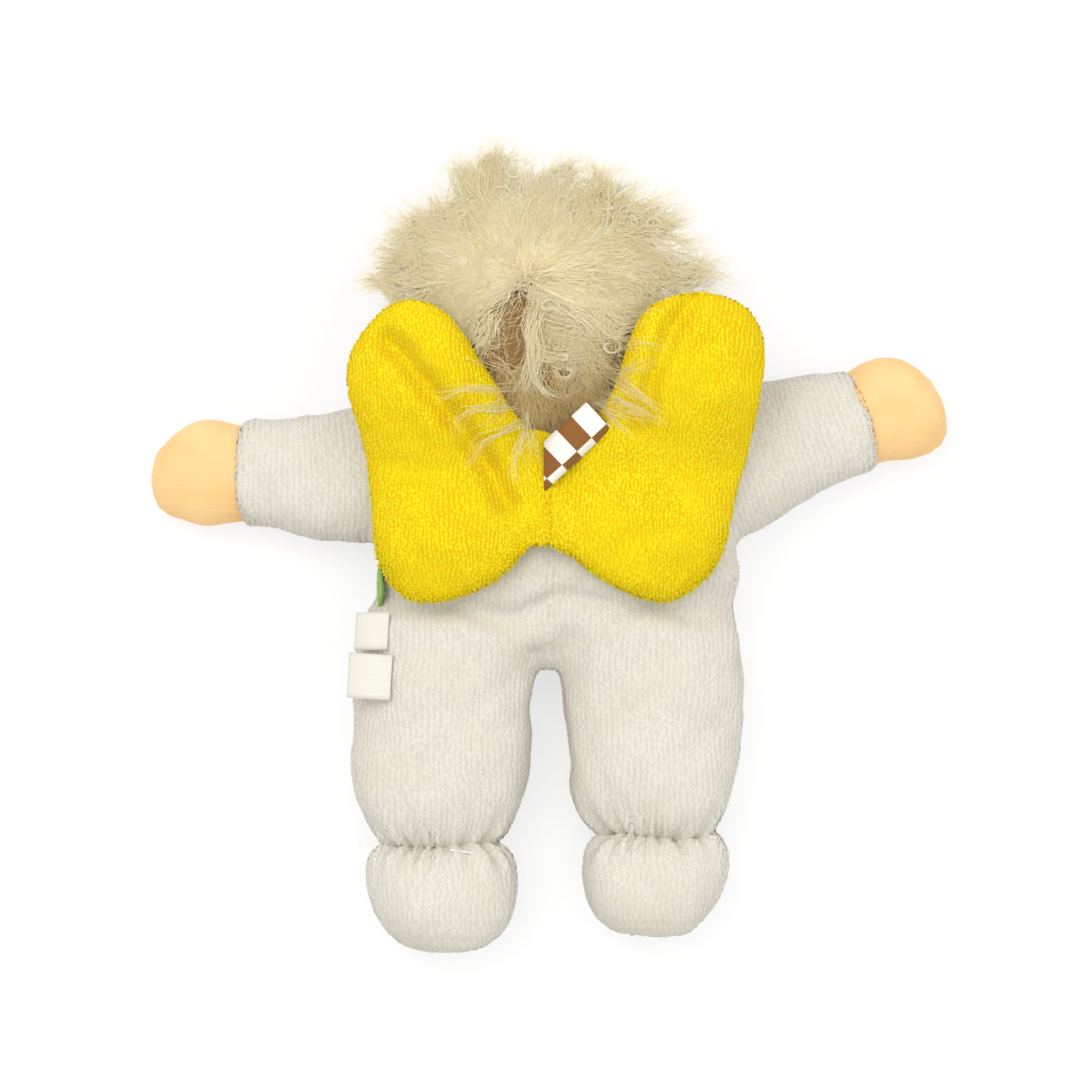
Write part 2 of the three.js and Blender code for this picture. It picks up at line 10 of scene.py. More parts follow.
import bmesh
import bpy
import numpy as np
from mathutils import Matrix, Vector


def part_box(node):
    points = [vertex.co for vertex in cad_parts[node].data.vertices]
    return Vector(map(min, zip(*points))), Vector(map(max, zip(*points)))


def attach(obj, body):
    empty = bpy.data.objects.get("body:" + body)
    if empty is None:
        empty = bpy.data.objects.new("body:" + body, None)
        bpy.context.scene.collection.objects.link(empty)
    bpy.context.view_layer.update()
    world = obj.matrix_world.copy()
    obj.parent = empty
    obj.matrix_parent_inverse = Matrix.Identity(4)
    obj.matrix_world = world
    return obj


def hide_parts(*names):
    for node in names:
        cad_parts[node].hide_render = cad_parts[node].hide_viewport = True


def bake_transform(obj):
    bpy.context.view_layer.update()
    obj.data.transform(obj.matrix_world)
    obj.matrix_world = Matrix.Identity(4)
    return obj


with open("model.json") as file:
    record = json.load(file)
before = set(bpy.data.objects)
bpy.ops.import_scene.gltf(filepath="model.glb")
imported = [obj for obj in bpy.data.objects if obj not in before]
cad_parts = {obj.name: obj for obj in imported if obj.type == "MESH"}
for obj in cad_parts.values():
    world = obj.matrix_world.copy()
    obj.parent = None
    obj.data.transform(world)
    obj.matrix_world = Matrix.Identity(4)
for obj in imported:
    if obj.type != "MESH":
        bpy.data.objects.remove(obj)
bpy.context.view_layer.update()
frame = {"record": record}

MM = 0.001
RECORD_JOINTS = frame["record"]["behaviour"]["joints"]
JOINTS = {joint["name"]: np.array(joint["pos_m"]) / MM for joint in RECORD_JOINTS}
# The neck's joint in the doll's own frame, and the way from that frame to the row frame.
NECK = np.array([0.0, 48.0, 30.0])
SHIFT = JOINTS["neck_nod"] - NECK
GROUND = -SHIFT[2]
# How far the cloth stays above the ground, and the floor below it.
GROUND_GAP = 0.05
# How far the neck leans up from the ground, and the head's middle and radius.
NECK_TILT = math.radians(10.5)
HEAD = NECK + 35.6 * np.array([0.0, math.cos(NECK_TILT), math.sin(NECK_TILT)])
HEAD_RADIUS = 35.0
# The doll's sides, and the sign of X on each.
SIDES = {"left": -1.0, "right": 1.0}


def joint_place(name):
    """A joint's place in the doll's own frame."""
    return JOINTS[name] - SHIFT


def to_row(point):
    """A place in the doll's frame as metres in the row frame."""
    return tuple((np.array(point) + SHIFT) * MM)


# Helpers -------------------------------------------------------------------------------------------------


def noise(points, size, seed, waves=18):
    """A smooth random field of about -1 to 1: the mean of plane waves about `size` mm long."""
    rng = np.random.default_rng(seed)
    directions = unit(rng.normal(size=(waves, 3)))
    lengths = size * rng.uniform(0.7, 1.5, waves)
    phases = rng.uniform(0, 2 * math.pi, waves)
    turns = points @ (directions.T * (2 * math.pi / lengths)) + phases
    return np.sin(turns).sum(axis=1) / math.sqrt(waves)


def bell(distance, width):
    """1 at no distance, falling smoothly to 0 past a width."""
    return np.exp(-((distance / width) ** 2))


def heading(angle):
    """Unit steps in plan towards angles in radians from +X."""
    return np.stack([np.cos(angle), np.sin(angle)], axis=-1)


def with_height(plan, height=0.0):
    """Places seen from above, with their height added as Z."""
    height = np.broadcast_to(height, plan.shape[:-1])
    return np.concatenate([plan, height[..., None]], axis=-1)


def lengths_along(line):
    """How far each place of a line is from its first one, along the line."""
    return np.concatenate([[0], np.cumsum(np.linalg.norm(np.diff(line, axis=0), axis=1))])


# Added to a length before dividing by it, where it may be nothing.
TINY = 1e-9


def unit(vectors, spare=0.0):
    """Vectors made one long."""
    return vectors / (np.linalg.norm(vectors, axis=-1, keepdims=True) + spare)


def smoothstep(value, low, high):
    """0 below one value and 1 above another, with a smooth rise between them."""
    share = np.clip((value - low) / (high - low), 0, 1)
    return share * share * (3 - 2 * share)


def spline(rows, count):
    """Rows of numbers, the first column the place along, made into `count` rows on one smooth curve."""
    rows = np.array(rows, float)
    order = np.argsort(rows[:, 0])
    rows = rows[order]
    places = np.linspace(rows[0, 0], rows[-1, 0], count)
    slopes = np.gradient(rows, rows[:, 0], axis=0)
    index = np.clip(np.searchsorted(rows[:, 0], places, side="right") - 1, 0, len(rows) - 2)
    step = (rows[index + 1, 0] - rows[index, 0])[:, None]
    share = ((places - rows[index, 0]) / step[:, 0])[:, None]
    start, end = rows[index], rows[index + 1]
    return (
        start * (1 + 2 * share) * (1 - share) ** 2
        + end * share**2 * (3 - 2 * share)
        + slopes[index] * step * share * (1 - share) ** 2
        - slopes[index + 1] * step * share**2 * (1 - share)
    )


def summed(index, rows, count):
    """Sums of the rows that share an index, for each index below a count."""
    return np.stack([np.bincount(index, column, minlength=count) for column in rows.T], axis=1)


def grid_faces(rows, columns):
    """Quads of a grid of rows by columns, whose columns close into a ring."""
    row, column = np.meshgrid(np.arange(rows - 1), np.arange(columns), indexing="ij")
    after = (column + 1) % columns
    here, there = row * columns, (row + 1) * columns
    return np.stack([here + column, here + after, there + after, there + column], axis=-1).reshape(-1, 4)


def repeated(triangles, per, count):
    """The triangles of one shape of `per` points, once for each of `count` such shapes."""
    return (triangles[None] + per * np.arange(count)[:, None, None]).reshape(-1, 3)


def new_object(name, data):
    """An object in the scene, of a mesh, a lamp or a camera."""
    obj = bpy.data.objects.new(name, data)
    bpy.context.scene.collection.objects.link(obj)
    return obj


def mesh_object(name, points, faces, material=None, normals=None):
    """An object from points in mm and an array of faces, in the row frame, shaded by `normals` if given."""
    mesh = bpy.data.meshes.new(name)
    points = (np.asarray(points, float) + SHIFT) * MM
    mesh.from_pydata(points.tolist(), [], faces.tolist() if hasattr(faces, "tolist") else faces)
    mesh.validate()
    mesh.polygons.foreach_set("use_smooth", [True] * len(mesh.polygons))
    mesh.update()
    if normals is not None:
        mesh.normals_split_custom_set_from_vertices(normals)
    obj = new_object(name, mesh)
    if material:
        mesh.materials.append(material)
    return obj


def points_of(obj):
    """The object's points, in mm in the doll's frame."""
    flat = np.empty(len(obj.data.vertices) * 3)
    obj.data.vertices.foreach_get("co", flat)
    return flat.reshape(-1, 3) / MM - SHIFT


def set_points(obj, points):
    """Moves the object's points, given in mm in the doll's frame."""
    obj.data.vertices.foreach_set("co", ((points + SHIFT) * MM).ravel())
    obj.data.update()


def raised(obj, relief):
    """The object's points, moved out along its normals."""
    return points_of(obj) + normals_of(obj) * relief[:, None]


def lay_down(obj, points):
    """Moves the object's points, and keeps them above the ground."""
    points[:, 2] = np.maximum(points[:, 2], GROUND + GROUND_GAP)
    set_points(obj, points)


def normals_of(obj):
    """The unit normals at the object's points."""
    flat = np.empty(len(obj.data.vertices) * 3)
    obj.data.vertices.foreach_get("normal", flat)
    return flat.reshape(-1, 3)


def set_attribute(obj, name, values):
    """Gives every point of the object a number that its material reads by name."""
    attribute = obj.data.attributes.new(name, "FLOAT", "POINT")
    attribute.data.foreach_set("value", np.asarray(values, np.float32))


def outward(obj, weld=False):
    """Turns every face of a closed mesh outwards, with points in one place made one where asked."""
    shape = bmesh.new()
    shape.from_mesh(obj.data)
    if weld:
        bmesh.ops.remove_doubles(shape, verts=shape.verts, dist=1e-6)
    bmesh.ops.recalc_face_normals(shape, faces=shape.faces)
    shape.to_mesh(obj.data)
    shape.free()


def applied(obj):
    """Applies the object's modifiers to its mesh."""
    depsgraph = bpy.context.evaluated_depsgraph_get()
    mesh = bpy.data.meshes.new_from_object(obj.evaluated_get(depsgraph))
    obj.modifiers.clear()
    old = obj.data
    obj.data = mesh
    bpy.data.meshes.remove(old)
    obj.data.polygons.foreach_set("use_smooth", [True] * len(obj.data.polygons))


# Materials -----------------------------------------------------------------------------------------------


def linear(colour):
    """An sRGB hex colour as linear RGBA."""
    values = [int(colour[i : i + 2], 16) / 255 for i in (1, 3, 5)]
    return [v / 12.92 if v <= 0.04045 else ((v + 0.055) / 1.055) ** 2.4 for v in values] + [1.0]


def add(material, kind, inputs=None, **settings):
    """Adds a node with its settings. An input's value is a number, a colour or another node's output."""
    node = material.node_tree.nodes.new(kind)
    for name, value in settings.items():
        setattr(node, name, value)
    for name, value in (inputs or {}).items():
        if isinstance(value, bpy.types.NodeSocket):
            material.node_tree.links.new(value, node.inputs[name])
        else:
            node.inputs[name].default_value = value
    return node


def attribute(material, name):
    """The output of a mesh attribute."""
    return add(material, "ShaderNodeAttribute", attribute_name=name).outputs["Fac"]


def object_place(material):
    """The output of the object's own coordinates."""
    return add(material, "ShaderNodeTexCoord").outputs["Object"]


def new_material(name):
    """A material with no nodes yet."""
    material = bpy.data.materials.new(name)
    material.use_nodes = True
    material.node_tree.nodes.clear()
    return material


def noise_texture(material, place, scale, detail=2.0):
    """The output of a noise texture."""
    inputs = {"Vector": place, "Scale": scale, "Detail": detail}
    return add(material, "ShaderNodeTexNoise", inputs).outputs[0]


def wave_texture(material, place, scale, distortion):
    """The output of a texture of slanting waves."""
    inputs = {"Vector": place, "Scale": scale, "Distortion": distortion}
    return add(material, "ShaderNodeTexWave", inputs, bands_direction="DIAGONAL").outputs["Fac"]


def map_range(material, value, low, high, to_low=0.0, to_high=1.0):
    """The output of a value whose range from low to high is spread over another range."""
    inputs = {"Value": value, "From Min": low, "From Max": high, "To Min": to_low, "To Max": to_high}
    return add(material, "ShaderNodeMapRange", inputs).outputs[0]


def times(material, value, factor):
    """The output of a value multiplied by a number."""
    return add(material, "ShaderNodeMath", {0: value, 1: factor}, operation="MULTIPLY").outputs[0]


def mixed(material, share, first, second):
    """A colour between two, by a share that is a number or an output."""
    node = add(material, "ShaderNodeMix", data_type="RGBA")
    links = material.node_tree.links
    for socket, value in ((node.inputs[0], share), (node.inputs[6], first), (node.inputs[7], second)):
        if isinstance(value, bpy.types.NodeSocket):
            links.new(value, socket)
        else:
            socket.default_value = value
    return node.outputs[2]


def surface(
    material, colour, roughness=0.9, sheen=0.0, bump=None, height=1.0, distance=0.0004, through=0.0
):
    """The cloth's shader: a rough surface, with an optional bump and a share of light let through."""
    inputs = {"Base Color": colour, "Roughness": roughness, "Specular IOR Level": 0.2}
    if sheen:
        inputs |= {"Sheen Weight": sheen, "Sheen Roughness": 0.5}
    if bump is not None:
        relief = add(material, "ShaderNodeBump", {"Height": bump, "Strength": height, "Distance": distance})
        inputs["Normal"] = relief.outputs[0]
    shader = add(material, "ShaderNodeBsdfPrincipled", inputs)
    if through:
        passed = add(material, "ShaderNodeBsdfTranslucent", {"Color": colour})
        shaders = {0: through, 1: shader.outputs[0], 2: passed.outputs[0]}
        shader = add(material, "ShaderNodeMixShader", shaders)
    add(material, "ShaderNodeOutputMaterial", {"Surface": shader.outputs[0]})


def fine_material(name, kind, scale, setting, colours, roughness, sheen, height=0.0, distance=0.0):
    """A material between two colours by a fine texture, which also gives the relief if it has a height.

    `kind` is noise_texture with its detail as the `setting`, or wave_texture with its distortion.
    """
    material = new_material(name)
    texture = kind(material, object_place(material), scale, setting)
    colour = mixed(material, texture, *(linear(shade) for shade in colours))
    surface(material, colour, roughness, sheen, texture if height else None, height, distance)
    return material


def terry_material(name, light, dark, stain, sheen, through):
    """Cotton terry, its loops knitted in ribs: a fluffy matt pile, with painted shade that darkens it towards
    the feet of the loops and the cloth between the ribs.
    """
    material = new_material(name)
    place = object_place(material)
    fine = noise_texture(material, place, 1100.0, 3.0)
    broad = noise_texture(material, place, 45.0, 3.0)
    # Painted shade: by the height in the pile attribute, the colour runs from dark at the loops' feet and on
    # the cloth between them to light at their tops.
    lit = map_range(material, attribute(material, "pile"), -0.3, 1.0)
    blotch = map_range(material, broad, 0.4, 0.75)
    pile = mixed(material, lit, linear(dark), linear(light))
    colour = mixed(material, times(material, blotch, 0.5), pile, linear(stain))
    surface(material, colour, 0.95, sheen, fine, 0.35, 0.0002, through)
    return material


# The first colour is the top of the loops, the second the painted shade at their feet, the third a random
# blotch.
CREAM = terry_material("cream_terry", "#f3f0e5", "#e8e3d4", "#eee6d2", 0.1, 0.25)
YELLOW = terry_material("yellow_terry", "#fff21c", "#f6c600", "#ffe310", 0.05, 0.25)


# Terry pile ----------------------------------------------------------------------------------------------

# A loop seen from its side, as shares of its length, height and width: it dives into the cloth at each end.
LOOP_PROFILE = [(-0.5, -0.4, 0.6), (0.0, 0.85, 1.0), (0.5, -0.4, 0.6)]
# A loop's cross-section, as shares of its half width and of its height.
LOOP_SECTION = [(-1.0, -0.5), (1.0, -0.5), (0.0, 1.0)]
# A loop's thickness, as a share of its height where it is widest.
LOOP_THICKNESS = 0.6
# The cloth under the loops, on the scale of a loop's height; it also gives the cloth the painted shade of the
# loops' feet.
CLOTH_DEPTH = -0.1
# Places tried for each cell of ribs and loops, and how far from the cell's middle a loop may stand, in cells.
LOOP_TRIES = 7
LOOP_REACH = 0.6


def terry_loops(name, cloth, rib, run, size, material, seed, slope=0.35, shag=None, bare=None):
    """Loops of pile that stand in ribs on a cloth: one for each cell of its rib and run coordinates.

    `rib` counts ribs across the cloth and `run` counts loops along them, both at the cloth's points.
    `size` is the rib's pitch, the loops' pitch, and a loop's length, half width and height.
    `slope` is how far a loop's shading turns away from the cloth's own: little, since the pile is soft.
    `shag` makes a loop taller, by its share at the cloth's points.
    Faces whose points are all `bare` have no loops.
    """
    rng = np.random.default_rng(seed)
    mesh = cloth.data
    mesh.calc_loop_triangles()
    corners = np.empty(len(mesh.loop_triangles) * 3, np.int32)
    mesh.loop_triangles.foreach_get("vertices", corners)
    corners = corners.reshape(-1, 3)
    points = points_of(cloth)
    # Painted shade: the cloth between the loops is coloured as dark as the loops' feet.
    set_attribute(cloth, "pile", np.full(len(points), CLOTH_DEPTH))
    shag = np.zeros(len(points)) if shag is None else shag
    if bare is not None:
        corners = corners[~bare[corners].all(axis=1)]
    a, b, c = (points[corners[:, i]] for i in range(3))
    crossed = np.cross(b - a, c - a)
    areas = np.linalg.norm(crossed, axis=1) / 2
    normals = unit(summed(corners.ravel(), np.repeat(crossed, 3, axis=0), len(points)), TINY)
    wanted = int(areas.sum() / (size[0] * size[1]) * LOOP_TRIES)
    picked = rng.choice(len(corners), wanted, p=areas / areas.sum())
    u, v = rng.random(wanted), rng.random(wanted)
    over = u + v > 1
    u[over], v[over] = 1 - u[over], 1 - v[over]
    weights = np.stack([1 - u - v, u, v], axis=1)[..., None]
    sampled = np.column_stack([points, normals, rib, run, shag])[corners[picked]]
    sampled = (sampled * weights).sum(axis=1)
    where, up, rib_at, run_at, tall = np.split(sampled, [3, 6, 7, 8], axis=1)
    up = unit(up)
    stagger = 0.5 * (np.floor(rib_at) % 2)
    cell = np.column_stack([np.floor(rib_at), np.floor(run_at + stagger), up[:, 2] > 0])
    off = np.hypot(rib_at[:, 0] - cell[:, 0] - 0.5, (run_at + stagger)[:, 0] - cell[:, 1] - 0.5)
    order = np.lexsort((off, cell[:, 2], cell[:, 1], cell[:, 0]))
    first = np.ones(wanted, bool)
    first[1:] = np.any(cell[order][1:] != cell[order][:-1], axis=1)
    chosen = order[first]
    chosen = chosen[off[chosen] < LOOP_REACH]
    count = len(chosen)
    where, up, tall = where[chosen], up[chosen], tall[chosen]
    along = rib_direction(corners[picked[chosen]], points, run)
    along = unit(along - up * (along * up).sum(axis=1)[:, None], TINY)
    turn = rng.normal(0, 0.22, (count, 1)) * (1 + 2 * tall)
    along = along * np.cos(turn) + np.cross(up, along) * np.sin(turn)
    side = np.cross(up, along)
    _, pitch, length, half, height = size
    grow = rng.uniform(0.8, 1.2, (count, 1))
    height = height * rng.uniform(0.65, 1.35, (count, 1)) * (1 + tall)
    where = where + side * rng.normal(0, 0.1, (count, 1)) * half
    where = where + along * rng.normal(0, 0.12, (count, 1)) * pitch
    shape, facing, depth = [], [], []
    for ahead, rise, wide in LOOP_PROFILE:
        for aside, above in LOOP_SECTION:
            depth.append(rise + above * wide * LOOP_THICKNESS)
            facing.append(up + side * aside * slope + along * ahead * slope)
            shape.append(
                where
                + along * ahead * length * grow
                + side * aside * wide * half * grow
                + up * (depth[-1] * height)
            )
    rings, sides = len(LOOP_PROFILE), len(LOOP_SECTION)
    per = rings * sides
    quads = grid_faces(rings, sides)
    last = per - sides
    triangles = np.concatenate(
        [quads[:, [0, 1, 2]], quads[:, [0, 2, 3]], [[2, 1, 0], [last, last + 1, last + 2]]]
    )
    faces = repeated(triangles, per, count)
    facing = unit(np.stack(facing, axis=1).reshape(-1, 3))
    shape = np.stack(shape, axis=1).reshape(-1, 3)
    shape[:, 2] = np.maximum(shape[:, 2], GROUND)
    obj = mesh_object(name, shape, faces, material, facing)
    # Painted shade: each point's height in its loop sets how dark it is coloured, with a random tone for each
    # loop.
    set_attribute(obj, "pile", np.tile(depth, count) + np.repeat(rng.normal(0, 0.15, count), per))
    return obj


def rib_direction(corners, points, run):
    """For each triangle, the direction in which `run` grows."""
    a, b, c = (points[corners[:, i]] for i in range(3))
    ra, rb, rc = (run[corners[:, i]] for i in range(3))
    normal = np.cross(b - a, c - a)
    area = (normal**2).sum(axis=1)[:, None] + 1e-12
    return (
        np.cross(normal, c - b) * ra[:, None]
        + np.cross(normal, a - c) * rb[:, None]
        + np.cross(normal, b - a) * rc[:, None]
    ) / area


# Romper --------------------------------------------------------------------------------------------------

# Pitch of the ribs and of the loops along them, and the pile's sizes for terry_loops().
RIB = 1.95
RUN = 1.1
PILE = (RIB, RUN, 1.8, 0.93, 0.3)
# The size of the remesh that joins the romper's forms.
VOXEL = 1.5

# Torso and legs, across planes of Y: place, centre, half width, lowest and highest point.
TORSO = [
    (-32, 1.5, 40, 6, 36), (-24, 2, 56, 1, 42), (-14, 3, 61.5, -0.5, 47), (0, 2.5, 62, -0.5, 51),
    (14, 1, 60, -0.5, 53), (27, 0, 55, 0, 53), (37, 0, 46, 2, 51), (44, 0, 35, 6, 47),
    (49, 0, 22, 12, 42),
]
LEGS = {
    "left": [
        (-104, -37.2, 17, 6, 28), (-101, -37.2, 20.5, 4.5, 31), (-96, -37.3, 24.3, 2.5, 34.5),
        (-88, -37.6, 27.5, 0.5, 38), (-76, -37.5, 29.3, -0.5, 40.5), (-60, -36.6, 30.3, -0.5, 42),
        (-42, -35.6, 31, -0.5, 43), (-28, -33.6, 31, 0, 43), (-16, -32, 27, 2, 42),
        (-6, -31, 20, 8, 38),
    ],
    "right": [
        (-100, 36.6, 17, 6, 28), (-97, 36.5, 20.5, 4.5, 31), (-92, 36.5, 24.3, 2.5, 34.5),
        (-84, 36.8, 27.5, 0.5, 38), (-72, 37.2, 29.3, -0.5, 40.5), (-58, 36.7, 30.6, -0.5, 42),
        (-42, 35.7, 31, -0.5, 43), (-28, 34, 31, 0, 43), (-16, 33, 27, 2, 42), (-6, 32, 20, 8, 38),
    ],
}
# Feet, tied off at the ankle.
FEET = {
    "left": [
        (-139.6, -36, 5, 15, 23), (-138.2, -36.1, 11, 9, 29), (-134.5, -36.3, 17.5, 4, 34),
        (-129, -36.5, 22, 1, 37), (-121, -36.6, 25, -0.5, 38.5), (-113, -36.6, 25.7, -0.5, 38),
        (-107, -36.8, 24.2, 1, 35.5), (-104, -37, 21.5, 4, 32.5), (-102.4, -37.2, 18.5, 6.5, 29),
        (-101.4, -37.2, 15, 9, 26),
    ],
    "right": [
        (-133.7, 36.4, 5, 15, 23), (-132.4, 36.4, 11, 9, 29), (-129, 36.4, 17.2, 4, 34),
        (-124, 36.5, 21.5, 1, 37), (-116.5, 36.7, 24.3, -0.5, 38.5), (-109, 36.8, 25, -0.5, 38),
        (-103, 36.7, 23.6, 1, 35.5), (-100, 36.6, 21.2, 4, 32.5), (-98.4, 36.5, 18.5, 6.5, 29),
        (-97.4, 36.5, 15, 9, 26),
    ],
}
# Arms: distance from the shoulder along the arm, sideways shift, half width, lowest and highest point.
ARMS = {
    "left": {
        "turn": 180.0,
        "rows": [
            (-12, 1, 22, 2, 42), (4, 1, 23.5, 0, 42), (15, 1, 23.5, -0.5, 40),
            (28, 0.9, 21.8, -0.5, 37), (42, 0.8, 19.8, -0.5, 33.5), (54, 0.7, 18.2, -0.5, 30),
            (59.2, 0.7, 17.7, 0, 28.5), (60.4, 0.7, 16.6, 1, 27.5),
        ],
    },
    "right": {
        "turn": 16.0,
        "rows": [
            (-12, -3, 23, 2, 42), (6, -4, 26, 0, 42), (20, -2, 25, -0.5, 40), (33, -1, 23, -0.5, 37),
            (46, 0, 20.6, -0.5, 33.5), (59, 0.4, 18.2, -0.5, 30), (64.6, 0.5, 17.2, 0, 28.5),
            (65.8, 0.5, 16.1, 1, 27.5),
        ],
    },
}
# How far the middle of a cuff reaches beyond its sides, and half the cuff's width.
CUFF_BOW = 3.4
CUFF_HALF = 17.5
# The web of cloth between the legs: its middle and its half sizes.
CROTCH = (np.array([0.3, -30.5, 21.0]), np.array([11.0, 10.5, 14.0]))


# The powers of the superellipses: the romper's forms are a little square, the feet and hands are rounder.
BODY_ROUND = 2.25
FOOT_ROUND = 2.1


def oval_rings(rows, axis, count, steps, power=BODY_ROUND):
    """Rings of a form along an axis, 0 for X or 1 for Y, from rows of place, centre, half width, low, high.

    A ring is a superellipse: |across / half width| ** power + |up / half height| ** power = 1.
    """
    rows = spline(rows, steps)
    angle = np.arange(count) * 2 * math.pi / count
    across = np.sign(np.cos(angle)) * np.abs(np.cos(angle)) ** (2 / power)
    up = np.sign(np.sin(angle)) * np.abs(np.sin(angle)) ** (2 / power)
    place, centre, half, low, high = (rows[:, i : i + 1] for i in range(5))
    points = np.empty((steps, count, 3))
    points[:, :, axis] = place
    points[:, :, 1 - axis] = centre + half * across
    points[:, :, 2] = (low + high) / 2 + (high - low) / 2 * up
    return points


def closed_form(rings):
    """Points and faces of a form whose first and last rings close on their centres."""
    steps, count, _ = rings.shape
    points = np.concatenate([rings.reshape(-1, 3), rings[:1].mean(axis=1), rings[-1:].mean(axis=1)])
    quads = grid_faces(steps, count)
    ring = np.arange(count)
    after = (ring + 1) % count
    last = (steps - 1) * count
    first_cap = np.stack([np.full(count, steps * count), after, ring], axis=1)
    last_cap = np.stack([np.full(count, steps * count + 1), last + ring, last + after], axis=1)
    return points, quads.tolist() + first_cap.tolist() + last_cap.tolist()


def closed_object(name, rings, material):
    """A closed object from rings, with its faces outwards."""
    points, faces = closed_form(rings)
    obj = mesh_object(name, points, faces, material)
    outward(obj)
    return obj


def ball(radius, centre, rows, columns, axis_turn=0.0, start=0.0, end=180.0):
    """Rings of a ball from its +Z pole, turned about X."""
    polar = np.radians(np.linspace(start, end, rows))
    around = np.arange(columns) * 2 * math.pi / columns
    points = np.stack(
        [
            np.sin(polar)[:, None] * np.cos(around),
            np.sin(polar)[:, None] * np.sin(around),
            np.broadcast_to(np.cos(polar)[:, None], (rows, columns)),
        ],
        axis=-1,
    )
    c, s = math.cos(axis_turn), math.sin(axis_turn)
    y, z = points[..., 1] * c - points[..., 2] * s, points[..., 1] * s + points[..., 2] * c
    return np.stack([points[..., 0], y, z], axis=-1) * radius + centre


def turned(points, degrees, centre):
    """Points turned about Z at the origin and then moved to a centre."""
    c, s = math.cos(math.radians(degrees)), math.sin(math.radians(degrees))
    x, y = points[..., 0], points[..., 1]
    return np.stack([x * c - y * s + centre[0], x * s + y * c + centre[1], points[..., 2]], axis=-1)


def arm_frame(side, points):
    """Points seen along an arm: distance from the shoulder, sideways, and height."""
    centre = joint_place(side + "_shoulder")
    moved = points - [centre[0], centre[1], 0]
    return turned(moved, -ARMS[side]["turn"], (0, 0))


def cuff_bow(aside):
    """How far the middle of a cuff reaches beyond its sides."""
    return CUFF_BOW * np.clip(1 - (aside / CUFF_HALF) ** 2, 0, 1)


def on_arm(side, rings):
    """Rings along X laid along an arm."""
    return turned(rings, ARMS[side]["turn"], joint_place(side + "_shoulder"))


def arm_rings(side):
    """Rings of a sleeve, whose cuff is bowed out in the middle."""
    rings = oval_rings(ARMS[side]["rows"], 0, 40, 40)
    rings[..., 0] += cuff_bow(rings[..., 1]) * smoothstep(rings[..., 0], 30, 58)
    return on_arm(side, rings)


def smoothed(points, faces, rounds, share=0.5):
    """Points moved towards the mean of their neighbours, round by round."""
    pairs = np.concatenate([faces[:, [0, 1]], faces[:, [1, 2]], faces[:, [2, 3]], faces[:, [3, 0]]])
    pairs = np.concatenate([pairs, pairs[:, ::-1]])
    counts = np.bincount(pairs[:, 0], minlength=len(points))[:, None]
    for _ in range(rounds):
        total = summed(pairs[:, 0], points[pairs[:, 1]], len(points))
        points = points + (total / np.maximum(counts, 1) - points) * share
    return points


def faces_of(obj):
    """The object's quads as an array."""
    flat = np.empty(len(obj.data.loops), np.int32)
    obj.data.loops.foreach_get("vertex_index", flat)
    return flat.reshape(-1, 4)


def ankle_gathers(points, ankle, reach):
    """Puckers round an ankle, from -1 to 1, that fade away along the leg."""
    angle = np.arctan2(points[:, 2] - ankle[2], points[:, 0] - ankle[0])
    puckers = np.sin(angle * 17 + 2 * np.sin(3 * angle))
    return puckers * bell(points[:, 1] - ankle[1], reach)


def romper_relief(points, normals):
    """How far the cloth stands out from its plain form: folds, puckers and soft lumps."""
    x, y, _ = points.T
    top = smoothstep(normals[:, 2], -0.1, 0.6)
    # A fold under the seat, a roll of cloth below it, and a soft groove down the middle.
    seat = -19.5 + 2.2 * np.sin(x / 11) + 1.5 * np.sin(x / 5.3 + 1)
    relief = -2.6 * bell(y - seat, 4.2) * top * smoothstep(np.abs(x), 72, 45)
    relief += 1.3 * bell(y - seat + 8, 6) * top
    middle_seam = bell(x + 0.5 * np.sin(y / 6), 2.2) * smoothstep(y, -34, -22) * smoothstep(y, 12, 0)
    relief -= 1.3 * middle_seam * top
    relief += 0.9 * noise(points, 34, 3) + 0.35 * noise(points, 12, 4)
    for side, sign in SIDES.items():
        gathers = 0.9 * ankle_gathers(points, joint_place(side + "_ankle"), 9)
        relief += gathers * (y < 0) * (np.sign(x) == sign)
    return relief


def romper_shape():
    """The whole romper without its feet, as one closed form."""
    parts = [oval_rings(TORSO, 1, 56, 50)]
    parts += [oval_rings(LEGS[side], 1, 44, 60) for side in SIDES]
    parts += [arm_rings(side) for side in SIDES]
    parts += [ball(1.0, 0, 16, 24, start=4, end=176) * CROTCH[1] + CROTCH[0]]
    points, faces, start = [], [], 0
    for rings in parts:
        part_points, part_faces = closed_form(rings)
        points.append(part_points)
        faces += [[start + i for i in face] for face in part_faces]
        start += len(part_points)
    whole = mesh_object("romper", np.concatenate(points), faces)
    outward(whole)
    remesh = whole.modifiers.new("remesh", "REMESH")
    remesh.mode = "VOXEL"
    remesh.voxel_size = VOXEL * MM
    applied(whole)
    points, quads = points_of(whole), faces_of(whole)
    cuffs = np.zeros(len(points))
    for side, sign in SIDES.items():
        cuff = smoothstep(arm_frame(side, points)[:, 0], 48, 56) * (np.sign(points[:, 0]) == sign)
        cuffs = np.maximum(cuffs, cuff)
    ankles = smoothstep(-points[:, 1], 88, 96)
    soft = smoothed(points, quads, 14)
    firm = smoothed(points, quads, 2)
    hold = np.maximum(cuffs, ankles)[:, None]
    points = soft * (1 - hold) + firm * hold
    set_points(whole, points)
    normals = normals_of(whole)
    lay_down(whole, points + normals * romper_relief(points, normals)[:, None])
    return whole


